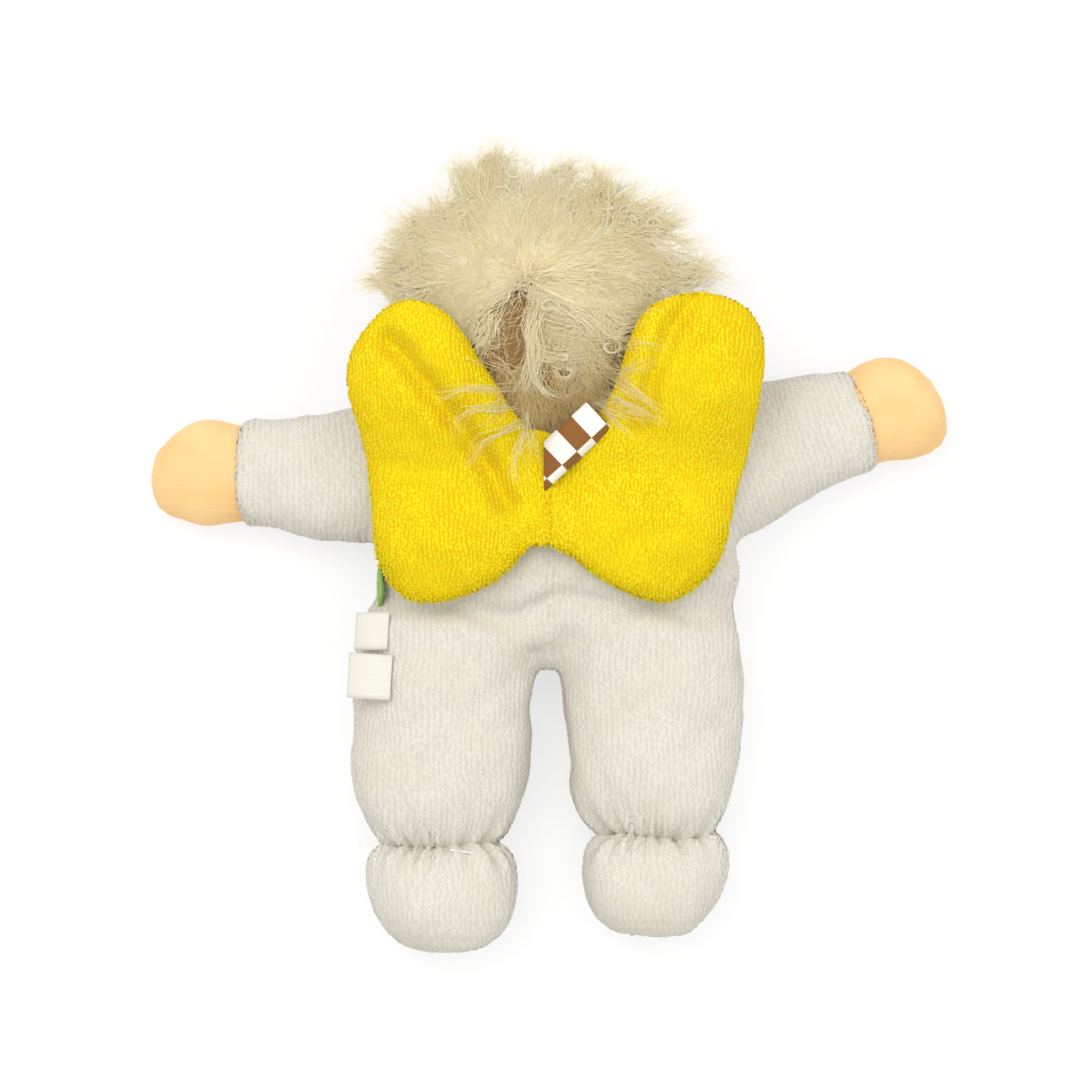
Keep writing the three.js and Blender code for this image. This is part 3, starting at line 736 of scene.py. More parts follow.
def girth(points, rows):
    """Distance round a form's ring from its top, by the oval that `rows` give at each point's Y."""
    rows = np.array(sorted(rows), float)
    centre, half, low, high = (np.interp(points[:, 1], rows[:, 0], rows[:, i]) for i in range(1, 5))
    tall = (high - low) / 2
    angle = np.arctan2((points[:, 0] - centre) / half, (points[:, 2] - (low + high) / 2) / tall)
    steps = np.linspace(0, math.pi, 90)
    flatness = np.linspace(0.2, 1.4, 13)
    ovals = (np.column_stack([np.sin(steps), flat * np.cos(steps)]) for flat in flatness)
    lengths = np.array([lengths_along(oval) for oval in ovals])
    shape = np.clip(tall / half, 0.2, 1.4)
    column = np.abs(angle) / math.pi * 89
    row = (shape - 0.2) / 1.2 * 12
    r0, c0 = np.minimum(row.astype(int), 11), np.minimum(column.astype(int), 88)
    fr, fc = row - r0, column - c0
    length = (lengths[r0, c0] * (1 - fc) + lengths[r0, c0 + 1] * fc) * (1 - fr) + (
        lengths[r0 + 1, c0] * (1 - fc) + lengths[r0 + 1, c0 + 1] * fc
    ) * fr
    return centre + np.sign(angle) * length * half


def cut(whole, name, planes):
    """A copy of a closed form cut by planes (a place in mm, and the direction that is kept), and closed."""
    shape = bmesh.new()
    shape.from_mesh(whole.data)
    for face in shape.faces:
        face.smooth = True
    for place, direction in planes:
        everything = shape.verts[:] + shape.edges[:] + shape.faces[:]
        bmesh.ops.bisect_plane(
            shape, geom=everything, plane_co=to_row(place), plane_no=direction, clear_inner=True, dist=1e-7
        )
        rim = [edge for edge in shape.edges if edge.is_boundary]
        filled = bmesh.ops.holes_fill(shape, edges=rim)["faces"]
        for face in filled:
            face.smooth = False
    bmesh.ops.triangulate(shape, faces=[face for face in shape.faces if len(face.verts) > 4])
    mesh = bpy.data.meshes.new(name)
    shape.to_mesh(mesh)
    shape.free()
    mesh.materials.append(CREAM)
    return new_object(name, mesh)


# The legs are cut off at this Y.
HIP_CUT = -10.0
# A sleeve is cut off along a slanted line: a place on it and the direction out along the arm.
SLEEVE_CUTS = {
    "left": (np.array([-55.0, 1.0, 0.0]), np.array([-0.86, 0.51, 0.0])),
    "right": (np.array([57.0, -2.0, 0.0]), np.array([0.86, 0.51, 0.0])),
}
# A length along the arm, given to bend() as the end of a sleeve's span.
SLEEVE_BEND = 22.0
# Points that lie this close to a cut's plane are on the cut.
ON_CUT = 0.02


def bend(obj, first, second, start, end):
    """Bakes the object's transform into its mesh; the two bodies and the start and end in mm are not used."""
    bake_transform(obj)


def wrist_ends(side):
    """The bodies and places at a wrist that bend() is given."""
    wrist = joint_place(side + "_wrist")
    turn = math.radians(ARMS[side]["turn"])
    out = np.array([math.cos(turn), math.sin(turn), 0])
    return side + "_arm", side + "_hand", wrist - 6 * out, wrist + 4 * out


def ankle_ends(side):
    """The bodies and places at an ankle that bend() is given."""
    ankle = joint_place(side + "_ankle")
    return side + "_leg", side + "_foot", ankle + [0, 2, 0], ankle - [0, 7, 0]


def make_romper():
    """The romper's torso, legs and sleeves: one form, cut where the limbs turn, with pile all over."""
    whole = romper_shape()
    hip = [0, HIP_CUT, 0]
    sleeves = [(place, tuple(-direction)) for place, direction in SLEEVE_CUTS.values()]
    pieces = {"torso": cut(whole, "romper_torso", [(hip, (0, 1, 0))] + sleeves)}
    for side, sign in SIDES.items():
        leg = [(hip, (0, -1, 0)), ([0, 0, 0], (sign, 0, 0))]
        place, direction = SLEEVE_CUTS[side]
        pieces[side + "_leg"] = cut(whole, "romper_" + side + "_leg", leg)
        pieces[side + "_arm"] = cut(whole, "romper_" + side + "_sleeve", [(place, tuple(direction))])
    bpy.data.objects.remove(whole)
    for number, (part, obj) in enumerate(pieces.items()):
        side = part.split("_")[0]
        points = points_of(obj)
        shag = np.zeros(len(points))
        if "leg" in part:
            rib, run = girth(points, LEGS[side]), points[:, 1]
            flat = smoothstep(points[:, 1], -48, -26) * smoothstep(points[:, 2], 14, 26)
            rib += (points[:, 0] - rib) * flat
        elif "arm" in part:
            seen = arm_frame(side, points)
            rows = ARMS[side]["rows"]
            swapped = np.stack([seen[:, 1], seen[:, 0], seen[:, 2]], axis=1)
            rib, run = seen[:, 0], girth(swapped, rows)
            shag = bell(seen[:, 0] - rows[-1][0] - cuff_bow(seen[:, 1]), 2.2)
        else:
            rib, run = girth(points, TORSO), points[:, 1]
        rib = rib / RIB + 0.35 * noise(points, 34, 20)
        run = run / RUN + 0.3 * noise(points, 24, 21)
        inside = np.abs(points[:, 1] - HIP_CUT) < ON_CUT
        if part != "torso":
            inside |= np.abs(points[:, 0]) < ON_CUT
        for place, direction in SLEEVE_CUTS.values():
            inside |= np.abs((points - place) @ direction) < ON_CUT
        name = obj.name + "_pile"
        loops = terry_loops(name, obj, rib, run, PILE, CREAM, 40 + number, shag=shag, bare=inside)
        for piece in (obj, loops):
            place_romper_piece(piece, part)
    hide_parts("torso_skin", "torso_wool")
    for side in SIDES:
        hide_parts(side + "_leg_skin", side + "_leg_wool")
        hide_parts(side + "_sleeve", side + "_arm_wool")


def place_romper_piece(piece, part):
    """Gives a piece of the romper or its pile to the torso; a limb's piece only has its transform baked."""
    if part == "torso":
        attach(piece, "torso")
    elif "leg" in part:
        hip = joint_place(part.split("_")[0] + "_hip")
        bend(piece, "torso", part, hip + [0, 9, 0], hip - [0, 16, 0])
    else:
        place, direction = SLEEVE_CUTS[part.split("_")[0]]
        start = place + direction + [0, 0, 20]
        bend(piece, "torso", part, start, start + SLEEVE_BEND * direction)


def make_feet():
    """Feet of the romper, gathered where the ankles are tied off."""
    for number, side in enumerate(SIDES):
        rings = oval_rings(FEET[side], 1, 64, 46, FOOT_ROUND)
        obj = closed_object("romper_" + side + "_foot", rings, CREAM)
        subdivide = obj.modifiers.new("subdivide", "SUBSURF")
        subdivide.levels = subdivide.render_levels = 1
        applied(obj)
        points = points_of(obj)
        relief = 1.1 * ankle_gathers(points, joint_place(side + "_ankle"), 8)
        relief += 0.6 * noise(points, 22, 31 + number)
        points = raised(obj, relief)
        lay_down(obj, points)
        rib = girth(points, FEET[side]) / RIB + 0.5 * noise(points, 14, 33)
        run = points[:, 1] / RUN
        loops = terry_loops(obj.name + "_pile", obj, rib, run, PILE, CREAM, 50 + number)
        for piece in (obj, loops):
            bend(piece, *ankle_ends(side))
        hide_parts(side + "_foot_skin", side + "_foot_wool")


make_romper()
make_feet()

# Hands ---------------------------------------------------------------------------------------------------


def jersey_material():
    """Peach cotton jersey: fine ribs along the arm, a little light through the stuffed cloth."""
    material = new_material("peach_jersey")
    wave = times(material, attribute(material, "rib"), 2 * math.pi)
    groove = add(material, "ShaderNodeMath", {0: wave}, operation="SINE")
    broad = noise_texture(material, object_place(material), 60.0, 3.0)
    tone = map_range(material, broad, 0.35, 0.7)
    colour = mixed(material, tone, linear("#e9be80"), linear("#eec98f"))
    surface(material, colour, 0.85, 0.1, groove.outputs[0], 0.35, 0.00012)
    return material


JERSEY = jersey_material()
# Distance from the shoulder, sideways shift, half width, lowest and highest point.
HANDS = {
    "left": [
        (53, 0.7, 14.5, 2, 24), (58, 0.7, 15.8, 1, 25), (62, 0.4, 16.8, 0, 26),
        (66.6, -0.1, 17.6, -0.4, 27), (75.2, -0.2, 17.9, -0.5, 27), (82.1, 0.6, 15.9, 0.5, 25),
        (88.5, 2.2, 12.2, 3, 21), (92, 2.4, 7.4, 7, 17), (93.2, 2.4, 3, 10, 14),
    ],
    "right": [
        (57, 0, 14.5, 2, 24), (62, 0, 15.9, 1, 25), (66.5, 0.1, 16.9, 0, 26), (72, 0.5, 17.7, -0.4, 27),
        (80.5, 0.1, 18, -0.5, 27), (88.2, -1.6, 15.9, 0.5, 25), (92.5, -2.6, 12, 3, 21),
        (94.6, -2.9, 7.4, 7, 17), (95.4, -3, 3, 10, 14),
    ],
}
# The pitch of the jersey's ribs.
JERSEY_RIB = 0.9


def make_hands():
    """Jersey hands, gathered where they are sewn into the cuffs."""
    for number, side in enumerate(SIDES):
        rings = on_arm(side, oval_rings(HANDS[side], 0, 72, 70, FOOT_ROUND))
        obj = closed_object("hand_" + side, rings, JERSEY)
        points = points_of(obj)
        seen = arm_frame(side, points)
        cuff = bell(seen[:, 0] - 62, 5)
        relief = 0.5 * noise(points, 20, 60 + number) + 0.35 * cuff * np.sin(seen[:, 1] * 1.9)
        points = raised(obj, relief)
        lay_down(obj, points)
        set_attribute(obj, "rib", seen[:, 1] / JERSEY_RIB)
        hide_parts(side + "_hand", side + "_hand_wool")
        bend(obj, *wrist_ends(side))


make_hands()

# Wings ---------------------------------------------------------------------------------------------------

# Pitch of the ribs and of the loops along them, and the pile's sizes for terry_loops().
WING_RIB = 1.3
WING_RUN = 1.05
WING_PILE = (WING_RIB, WING_RUN, 1.6, 0.62, 0.28)
# Half the thickness at the edge, how far the wing swells above and below its middle, and how far in from
# the edge it has its full thickness.
WING_EDGE = 0.9
WING_PUFF = 6.2
WING_UNDER = 4.4
WING_ROUND = 17.0
# How much of its full height the wing has where it is sewn to the other.
SEAM_SHARE = 0.62
# The wing's reach from the seam, its lowest Y, and the height of the seam.
WING_SPAN = 73.5
WING_FOOT = -17.6
HINGE_HEIGHT = 56.25
WING_OUTLINES = {
    "left": [
        (-0.3, 39.5), (-6.4, 41), (-11.6, 46), (-18.5, 56.9), (-24.3, 65.5), (-29.8, 74.2), (-35, 80),
        (-40.9, 83.1), (-47.8, 84.2), (-54.7, 81.8), (-60.9, 75.9), (-66.1, 68.3), (-68.1, 60.4),
        (-67.4, 51.7), (-64.3, 41.4), (-62.3, 32.8), (-60.9, 22.4), (-59.9, 12.1), (-58.8, 1.7),
        (-57.1, -5.2), (-53, -12.1), (-47.8, -16.2), (-40.9, -17.6), (-32.3, -16.2), (-23.6, -13.1),
        (-15, -7.6), (-9.8, -1.7), (-6.4, 1.4), (-0.3, 2.2), (-0.3, 14), (-0.3, 26),
    ],
    "right": [
        (0.3, 38.5), (9.1, 41.4), (16.8, 46), (21.9, 53.5), (25.4, 63.8), (28.8, 74.2), (33.3, 81.1),
        (40.2, 84.9), (48.8, 86.6), (59.2, 85.6), (67.8, 81.1), (71.9, 74.2), (73.3, 67.3), (72.3, 56.9),
        (70.2, 44.8), (67.8, 32.8), (64.3, 20.7), (61.6, 8.6), (59.2, 0), (54, -8.6), (47.1, -14.5),
        (40.2, -17.2), (31.6, -15.9), (22.9, -12.1), (14.3, -6.9), (8.1, -1.7), (0.3, 2.2), (0.3, 14),
        (0.3, 26),
    ],
}
WING_CENTRES = {"left": (-36, 33), "right": (38, 34)}
# Creases: points along them, depth and width.
CREASES = {
    "left": [
        ([(-54, 71), (-27, 38), (-14, 16)], 7.3, 4.2),
        ([(-2, 30), (-16, 29), (-30, 31)], 1.2, 4.5),
    ],
    "right": [
        ([(49, 86), (41, 73), (35, 58), (31, 44)], 7.0, 4.2),
        ([(2, 22), (18, 16), (30, 6)], 1.2, 4.5),
    ],
}


def wing_middle(x, y):
    """The height of a wing's middle layer."""
    aside = np.abs(x)
    rise = smoothstep(aside, 0, WING_SPAN * 0.52)
    crown = 14 * smoothstep(y, 26, 56) * rise
    dip = 5 * (1 - smoothstep(y, WING_FOOT, 3)) * rise
    return HINGE_HEIGHT + crown - 13 * (aside / WING_SPAN) ** 3 - dip


def to_lines(points, lines, closed=False):
    """The distance in plan from points to a run of straight lines."""
    starts = np.array(lines, float)
    ends = np.roll(starts, -1, axis=0)
    if not closed:
        starts, ends = starts[:-1], ends[:-1]
    nearest = np.full(len(points), 1e9)
    for start, line in zip(starts, ends - starts):
        out = points[:, :2] - start
        share = np.clip((out @ line) / (line @ line + 1e-12), 0, 1)
        nearest = np.minimum(nearest, np.linalg.norm(out - share[:, None] * line, axis=1))
    return nearest


def smooth_outline(corners, count):
    """A closed smooth line through corners, as `count` points evenly spaced."""
    corners = np.array(corners, float)
    around = np.concatenate([corners[-3:], corners, corners[:3]])
    steps = lengths_along(around)
    curve = spline(np.column_stack([steps, around]), 1600)
    curve = curve[(curve[:, 0] >= steps[3]) & (curve[:, 0] < steps[3 + len(corners)])][:, 1:]
    lengths = lengths_along(curve)
    places = np.linspace(0, lengths[-1], count, endpoint=False)
    return np.column_stack([np.interp(places, lengths, curve[:, i]) for i in range(2)])


def make_wing(side, number):
    """A wadded wing of terry: thin at its edge and along the seam, lumpy and creased in between."""
    outline = smooth_outline(WING_OUTLINES[side], 280)
    centre = np.array(WING_CENTRES[side])
    # Rings that shrink from the outline to the centre, closer together near the outline.
    shares = np.concatenate([[1.0], 1 - np.linspace(0.012, 1, 60) ** 1.15])
    flat = centre + (outline - centre) * shares[:, None, None]
    plan = flat.reshape(-1, 2)
    x, y = plan.T
    depth = to_lines(plan, outline, closed=True)
    depth[: len(outline)] = 0
    seam = smoothstep(np.abs(x), 1, 22)
    swell = np.sqrt(1 - (1 - np.clip(depth / WING_ROUND, 0, 1)) ** 2)
    solid = with_height(plan)
    along_seam = smoothstep(y, -1, 7) * smoothstep(-y, -37, -30)
    inner = (1 - smoothstep(np.abs(x), 1, 14)) * along_seam
    lumps = noise(solid, 26, 70 + number) * swell
    fine = noise(solid, 9, 75 + number) * swell
    high = np.maximum(swell, SEAM_SHARE * inner)
    top = WING_EDGE + (WING_PUFF * (0.55 + 0.45 * seam) - WING_EDGE) * high + 0.9 * lumps + 0.3 * fine
    under = WING_EDGE + (WING_UNDER * (0.35 + 0.65 * seam) - WING_EDGE) * swell + 0.3 * lumps
    for line, deep, wide in CREASES[side]:
        away = to_lines(plan, spline(np.column_stack([np.arange(len(line)), line]), 24)[:, 1:])
        top -= deep * bell(away, wide) * swell
    middle = wing_middle(x, y)
    top, under = (with_height(plan, z).reshape(len(shares), -1, 3) for z in (middle + top, middle - under))
    rings = np.concatenate([under[:0:-1], top])
    obj = mesh_object("wing_" + side, rings.reshape(-1, 3), grid_faces(len(rings), len(outline)), YELLOW)
    outward(obj, weld=True)
    points = points_of(obj)
    wave = 0.5 * noise(points, 16, 80 + number) + 0.9 * noise(points, 60, 82 + number)
    rib, run = points[:, 0] / WING_RIB + wave, points[:, 1] / WING_RUN + 0.4 * noise(points, 12, 84)
    edge = bell(to_lines(points, outline, closed=True), 3.5)
    shag = edge * (0.5 + 2.0 * smoothstep(-points[:, 1], -14, 6))
    loops = terry_loops("wing_" + side + "_pile", obj, rib, run, WING_PILE, YELLOW, 90 + number, 0.75, shag)
    for piece in (obj, loops):
        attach(piece, side + "_wing")
    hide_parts(*(side + "_wing_" + layer for layer in ("outer", "wadding", "lining")))


for wing_number, wing_side in enumerate(SIDES):
    make_wing(wing_side, wing_number)

# Head and hair -------------------------------------------------------------------------------------------


def hair_material():
    """Mohair, straw blond, darker near the roots, each strand a little different."""
    material = new_material("blond_mohair")
    base = mixed(material, attribute(material, "tone"), linear("#ecd392"), linear("#fff7d4"))
    # The root colour also gives the painted shade of the strands over the cap's lower side, in make_down().
    colour = mixed(material, attribute(material, "root"), base, linear("#b58a45"))
    surface(material, colour, 0.7, 0.0, through=0.12)
    return material


# Brown wool knit of the cap, in diagonal wales of about 0.9 mm.
CAP_SHADES = ("#865a26", "#ab8249")
KNIT = fine_material("brown_wool_knit", wave_texture, 500.0, 1.0, CAP_SHADES, 0.95, 0.2, 0.8, 0.0005)
HAIR = hair_material()
# The hair's whorl and the nose, seen from above.
WHORL = np.array([-8.1, 92.1])
NOSE = np.array([0.0, 88.0])
# The cap's outer radius, and how far its crown is turned about X from straight up.
CAP_RADIUS = HEAD_RADIUS + 1.3
CAP_TILT = math.radians(62) - math.pi / 2 + 0.5
# The range of a random phase: about one turn.
TURN = 6.3
# The lowest and highest places of the hair's strands.
HAIR_LOW = 12
HAIR_TOP = 79.3


def make_head():
    """The jersey head with its knob of a nose, and the knitted cap stretched over the crown."""
    obj = closed_object("head", ball(HEAD_RADIUS, HEAD, 60, 90, 0, 3, 177), JERSEY)
    points = raised(obj, 0.4 * noise(points_of(obj), 30, 101))
    below = smoothstep(-points[:, 2], -12, -6)
    points[:, 2] -= 2.4 * below * bell(np.linalg.norm(points[:, :2] - NOSE, axis=1), 3.4)
    lay_down(obj, points)
    set_attribute(obj, "rib", points[:, 0] / JERSEY_RIB)
    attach(obj, "head")
    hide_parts("head_skin", "head_wool")
    radii = (CAP_RADIUS, HEAD_RADIUS - 0.5)
    outer, inner = (ball(radius, HEAD, 34, 110, CAP_TILT, 2, 92) for radius in radii)
    cap = closed_object("knit_cap", np.concatenate([outer, inner[::-1]]), KNIT)
    points = points_of(cap)
    grow = 0.35 * noise(points, 8, 102) * (np.linalg.norm(points - HEAD, axis=1) > HEAD_RADIUS + 0.5)
    set_points(cap, raised(cap, grow))
    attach(cap, "head")
    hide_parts("hair_cap")


def tubes(name, paths, radii, sides, material, tones, roots, soft=True):
    """Strands as thin closed tubes along paths (strand, ring, place), tapering by radii per ring.

    Where they are `soft` they take the light of the whole head of hair, not that of each tube.
    """
    count, rings, _ = paths.shape
    ahead = unit(np.gradient(paths, axis=1), TINY)
    across = np.cross(ahead, [0.0, 0.0, 1.0])
    across[np.linalg.norm(across, axis=2) < 0.05] = [1.0, 0.0, 0.0]
    across = unit(across)
    other = np.cross(ahead, across)
    turns = np.arange(sides) * 2 * math.pi / sides
    middle, radii = paths[:, :, None], radii[..., None, None]
    around = across[:, :, None] * np.cos(turns)[:, None] + other[:, :, None] * np.sin(turns)[:, None]
    shape = middle + radii * around
    shape[..., 2] = np.maximum(shape[..., 2], GROUND)
    quads = grid_faces(rings, sides)
    last = (rings - 1) * sides
    fan = np.arange(1, sides - 1)
    first_cap = np.column_stack([fan + 1, fan, 0 * fan])
    last_cap = np.column_stack([0 * fan, fan, fan + 1]) + last
    triangles = np.concatenate([quads[:, [0, 1, 2]], quads[:, [0, 2, 3]], first_cap, last_cap])
    per = rings * sides
    # A soft strand's shading: some of its own roundness, some of the head's, and mostly upwards.
    away = unit(middle - (HEAD - [0, 0, 25]))
    facing = unit((shape - middle) / (radii + TINY) * 0.4 + away * 0.35 + [0, 0, 0.75]).reshape(-1, 3)
    faces = repeated(triangles, per, count)
    obj = mesh_object(name, shape.reshape(-1, 3), faces, material, facing if soft else None)
    set_attribute(obj, "tone", np.repeat(tones, per))
    set_attribute(obj, "root", np.repeat(roots.ravel(), sides))
    return obj


# How far the hair reaches from the whorl, by the angle from +X.
HAIR_REACH = [
    (-90, 45), (-60, 48), (-40, 54), (-25, 62), (-5, 73), (4, 74), (12, 67), (18, 65), (25, 60), (33, 62),
    (45, 53), (60, 48), (74, 49), (80, 42), (84, 37), (90, 41), (100, 47), (113, 51), (120, 47), (126, 50),
    (133, 43), (140, 38), (148, 48), (156, 56), (161, 57), (170, 54), (181, 61), (190, 54), (205, 46),
    (230, 42), (250, 43), (270, 45),
]
# Tufts that stand out of the fan: angle and reach.
TUFTS = [
    (-5, 74), (4, 75), (12, 68), (19, 66), (26, 61), (33, 63), (41, 54), (50, 51), (60, 48), (68, 47),
    (74, 50), (92, 43), (100, 47), (107, 49), (113, 53), (119, 48), (126, 51), (133, 43), (148, 48),
    (156, 57), (161, 58), (168, 54), (175, 55), (181, 61), (188, 56), (-14, 66), (-24, 58), (196, 48),
]


def fan_reach(angle):
    """The reach of the hair towards an angle in radians."""
    reach = np.array(HAIR_REACH, float)
    return np.interp((np.degrees(angle) + 90) % 360 - 90, reach[:, 0], reach[:, 1])


def over_head(plan, spare):
    """The height of the head's upper side, some millimetres above its cap."""
    gap = np.linalg.norm(plan - HEAD[:2], axis=-1)
    return np.sqrt(np.maximum((CAP_RADIUS + spare) ** 2 - gap**2, 0)) + HEAD[2], gap


def fan_top(plan, spare=2.0):
    """The height of the hair's upper side: over the head, then falling outwards."""
    over, gap = over_head(plan, spare)
    beyond = np.maximum(gap - (CAP_RADIUS - 7), 0)
    edge = HEAD[2] + math.sqrt((CAP_RADIUS + spare) ** 2 - (CAP_RADIUS - 7) ** 2)
    return np.where(gap < CAP_RADIUS - 7, over, edge - 0.5 * beyond)


def roof(plan):
    """The height of whatever lies uppermost: the head or a wing."""
    over, gap = over_head(plan, 1.0)
    height = np.where(gap < CAP_RADIUS, over, np.maximum(fan_top(plan, 1.0), 52))
    for side, sign in SIDES.items():
        centre = np.array(WING_CENTRES[side])
        line = smooth_outline(WING_OUTLINES[side], 120)
        bearing = np.arctan2(*(line - centre).T[::-1])
        order = np.argsort(bearing)
        reach = np.linalg.norm(line - centre, axis=1)[order]
        at = plan - centre
        limit = np.interp(np.arctan2(at[..., 1], at[..., 0]), bearing[order], reach, period=2 * math.pi)
        depth = np.clip(limit - np.linalg.norm(at, axis=-1), 0, WING_ROUND)
        swell = np.sqrt(1 - (1 - depth / WING_ROUND) ** 2)
        wing = wing_middle(plan[..., 0], plan[..., 1]) + (WING_PUFF + 0.8) * swell
        height = np.where((depth > 0) & (plan[..., 0] * sign > 0), np.maximum(height, wing), height)
    return height


def make_hair_body():
    """The thick of the hair: a soft fan over the crown, that the strands lie on."""
    columns, rows = 220, 34
    angles = np.radians(np.linspace(-32, 214, columns))
    ragged = 0.66 + 0.02 * np.sin(angles * 17) + 0.015 * np.sin(angles * 29 + 1)
    rim = fan_reach(angles) * ragged * smoothstep(np.degrees(angles), -34, -8)
    rim = np.maximum(rim * (1 - smoothstep(np.degrees(angles), 196, 216)), 9)
    share = np.linspace(0.02, 1, rows)
    plan = WHORL + (share[:, None] * rim)[..., None] * heading(angles)
    thick = 14 * np.sqrt(1 - share[:, None] ** 4)
    top = fan_top(plan, 1.2) - 0.8
    flat = with_height(plan, top)
    strand = noise(flat.reshape(-1, 3) * [1, 1, 0.2], 7, 110).reshape(top.shape)
    clump = np.sin(angles * 60 + 2 * strand) * 0.7 * share[:, None] + 0.6 * strand
    under = with_height(plan, top - thick)[::-1]
    flat[..., 2] += clump * smoothstep(share, 0, 0.3)[:, None]
    body = closed_object("hair_body", np.concatenate([flat, under]).transpose(1, 0, 2), HAIR)
    for name, value in (("tone", 0.75), ("root", 0.0)):
        set_attribute(body, name, np.full(len(body.data.vertices), value))
    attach(body, "head")
    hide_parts("hair")


def put_strands(name, paths, radius, tones, dark, fade=0.45, lies=None):
    """Strands of the hair along paths, tapering to the tip, and `dark` from the root up to `fade`.

    Without `lies` they ride the head; with it they stay where they are, only their transform baked.
    """
    t = np.linspace(0, 1, paths.shape[1])[None]
    radii = radius[:, None] * (1.0 - 0.8 * t**2)
    roots = dark[:, None] * (1 - smoothstep(t, 0, fade))
    obj = tubes(name, paths, radii, 3, HAIR, np.clip(tones, 0, 1), roots)
    if lies is None:
        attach(obj, "head")
    else:
        low, high = ([WHORL[0], y, 56] for y in lies)
        bend(obj, "neck", "head", low, high)


def make_fan(pieces=3, per_piece=3200, rings=8, locks=7, more_tufts=60):
    """Fine strands that leave the whorl in tufts, each tuft of a few wavy locks."""
    rng = np.random.default_rng(7)
    extra = rng.uniform(-24, 204, more_tufts)
    extra_reach = fan_reach(np.radians(extra)) * rng.uniform(0.7, 0.95, more_tufts)
    drawn_angle, drawn_reach = np.array(TUFTS, float).T
    tuft_angle = np.radians(np.concatenate([drawn_angle, extra]))
    tuft_reach = np.concatenate([drawn_reach, extra_reach])
    tufts = len(tuft_angle)
    tuft_drop = rng.uniform(-12, 2, tufts)
    tuft_bend = rng.normal(0, 0.12, tufts)
    chance = np.concatenate([np.full(len(TUFTS), 1.5), np.ones(more_tufts)])
    every = tufts * locks
    # Each lock: how far aside it leaves, its sway, wave length, phase, tone, and share of the tuft's reach.
    lock_side, lock_sway, lock_wave, lock_phase, lock_tone, lock_end = (
        rng.normal(0, 0.085, every), rng.uniform(0.3, 2.3, every), rng.uniform(11, 24, every),
        rng.uniform(0, TURN, every), rng.normal(0.6, 0.17, every), rng.uniform(0.78, 1.02, every),
    )
    for piece in range(pieces):
        # The tuft and the lock that each strand belongs to.
        which = rng.choice(tufts, per_piece, p=chance / chance.sum())
        lock = which * locks + rng.integers(0, locks, per_piece)
        spread = lock_side[lock] + rng.normal(0, 0.045, per_piece)
        evenness = np.where(which < len(TUFTS), 0.3, 0.7)
        end = tuft_reach[which] * lock_end[lock] * rng.uniform(0.45, 1.02, per_piece) ** evenness
        start = np.maximum(end - rng.uniform(14, 32, per_piece), rng.uniform(0.5, 9, per_piece))
        t = np.linspace(0, 1, rings)[None]
        reach = start[:, None] + (end - start)[:, None] * t
        # 0 at the whorl and 1 at the tuft's end.
        far = reach / tuft_reach[which][:, None]
        angle = tuft_angle[which][:, None] + spread[:, None] * (1.35 - 0.95 * far**2)
        angle = angle + tuft_bend[which][:, None] * far**2
        # 0 for the top layer and 1 for the lowest. The roots lie scattered round the whorl.
        layer = rng.uniform(0, 1, per_piece) ** 2
        home = rng.normal(0, 2.2, (per_piece, 1, 2)) * (1 - np.minimum(far, 1))[..., None]
        plan = WHORL + home + reach[..., None] * heading(angle)
        height = fan_top(plan) + 0.4 + 1.8 * rng.random((per_piece, 1)) + 1.6 * t
        out = smoothstep(far, 0.45, 1)
        height = height + out * tuft_drop[which][:, None] - layer[:, None] * 13 * smoothstep(far, 0.45, 0.8)
        over, gap = over_head(plan, 0.5)
        height = np.where(gap < CAP_RADIUS, np.maximum(height, over), height)
        turns = 2 * math.pi * reach / lock_wave[lock][:, None] + lock_phase[lock][:, None]
        sway = lock_sway[lock][:, None] * smoothstep(far, 0.1, 0.6) * np.sin(turns)
        own = rng.uniform(0.1, 0.9, (per_piece, 1)) * far * (0.3 + t)
        turns = 2 * math.pi * reach / rng.uniform(6, 11, (per_piece, 1))
        turns = turns + rng.uniform(0, TURN, (per_piece, 1))
        side = np.stack([-np.sin(angle), np.cos(angle)], axis=-1)
        plan = plan + side * (sway + own * np.cos(turns))[..., None]
        paths = with_height(plan, np.clip(height + own * np.sin(turns), HAIR_LOW, HAIR_TOP))
        tones = lock_tone[lock] + rng.normal(0, 0.13, per_piece)
        radius = rng.uniform(0.08, 0.15, per_piece)
        dark = rng.uniform(0.05, 0.35, per_piece) * (start < 12)
        put_strands("hair_" + str(piece + 1), paths, radius, tones, dark)


def swirl(plan):
    """How far the hair turns from straight out, in radians, at places seen from above."""
    flat = with_height(plan.reshape(-1, 2))
    turn = 0.8 * noise(flat, 30, 120) + 0.55 * noise(flat, 12, 121)
    return turn.reshape(plan.shape[:-1])


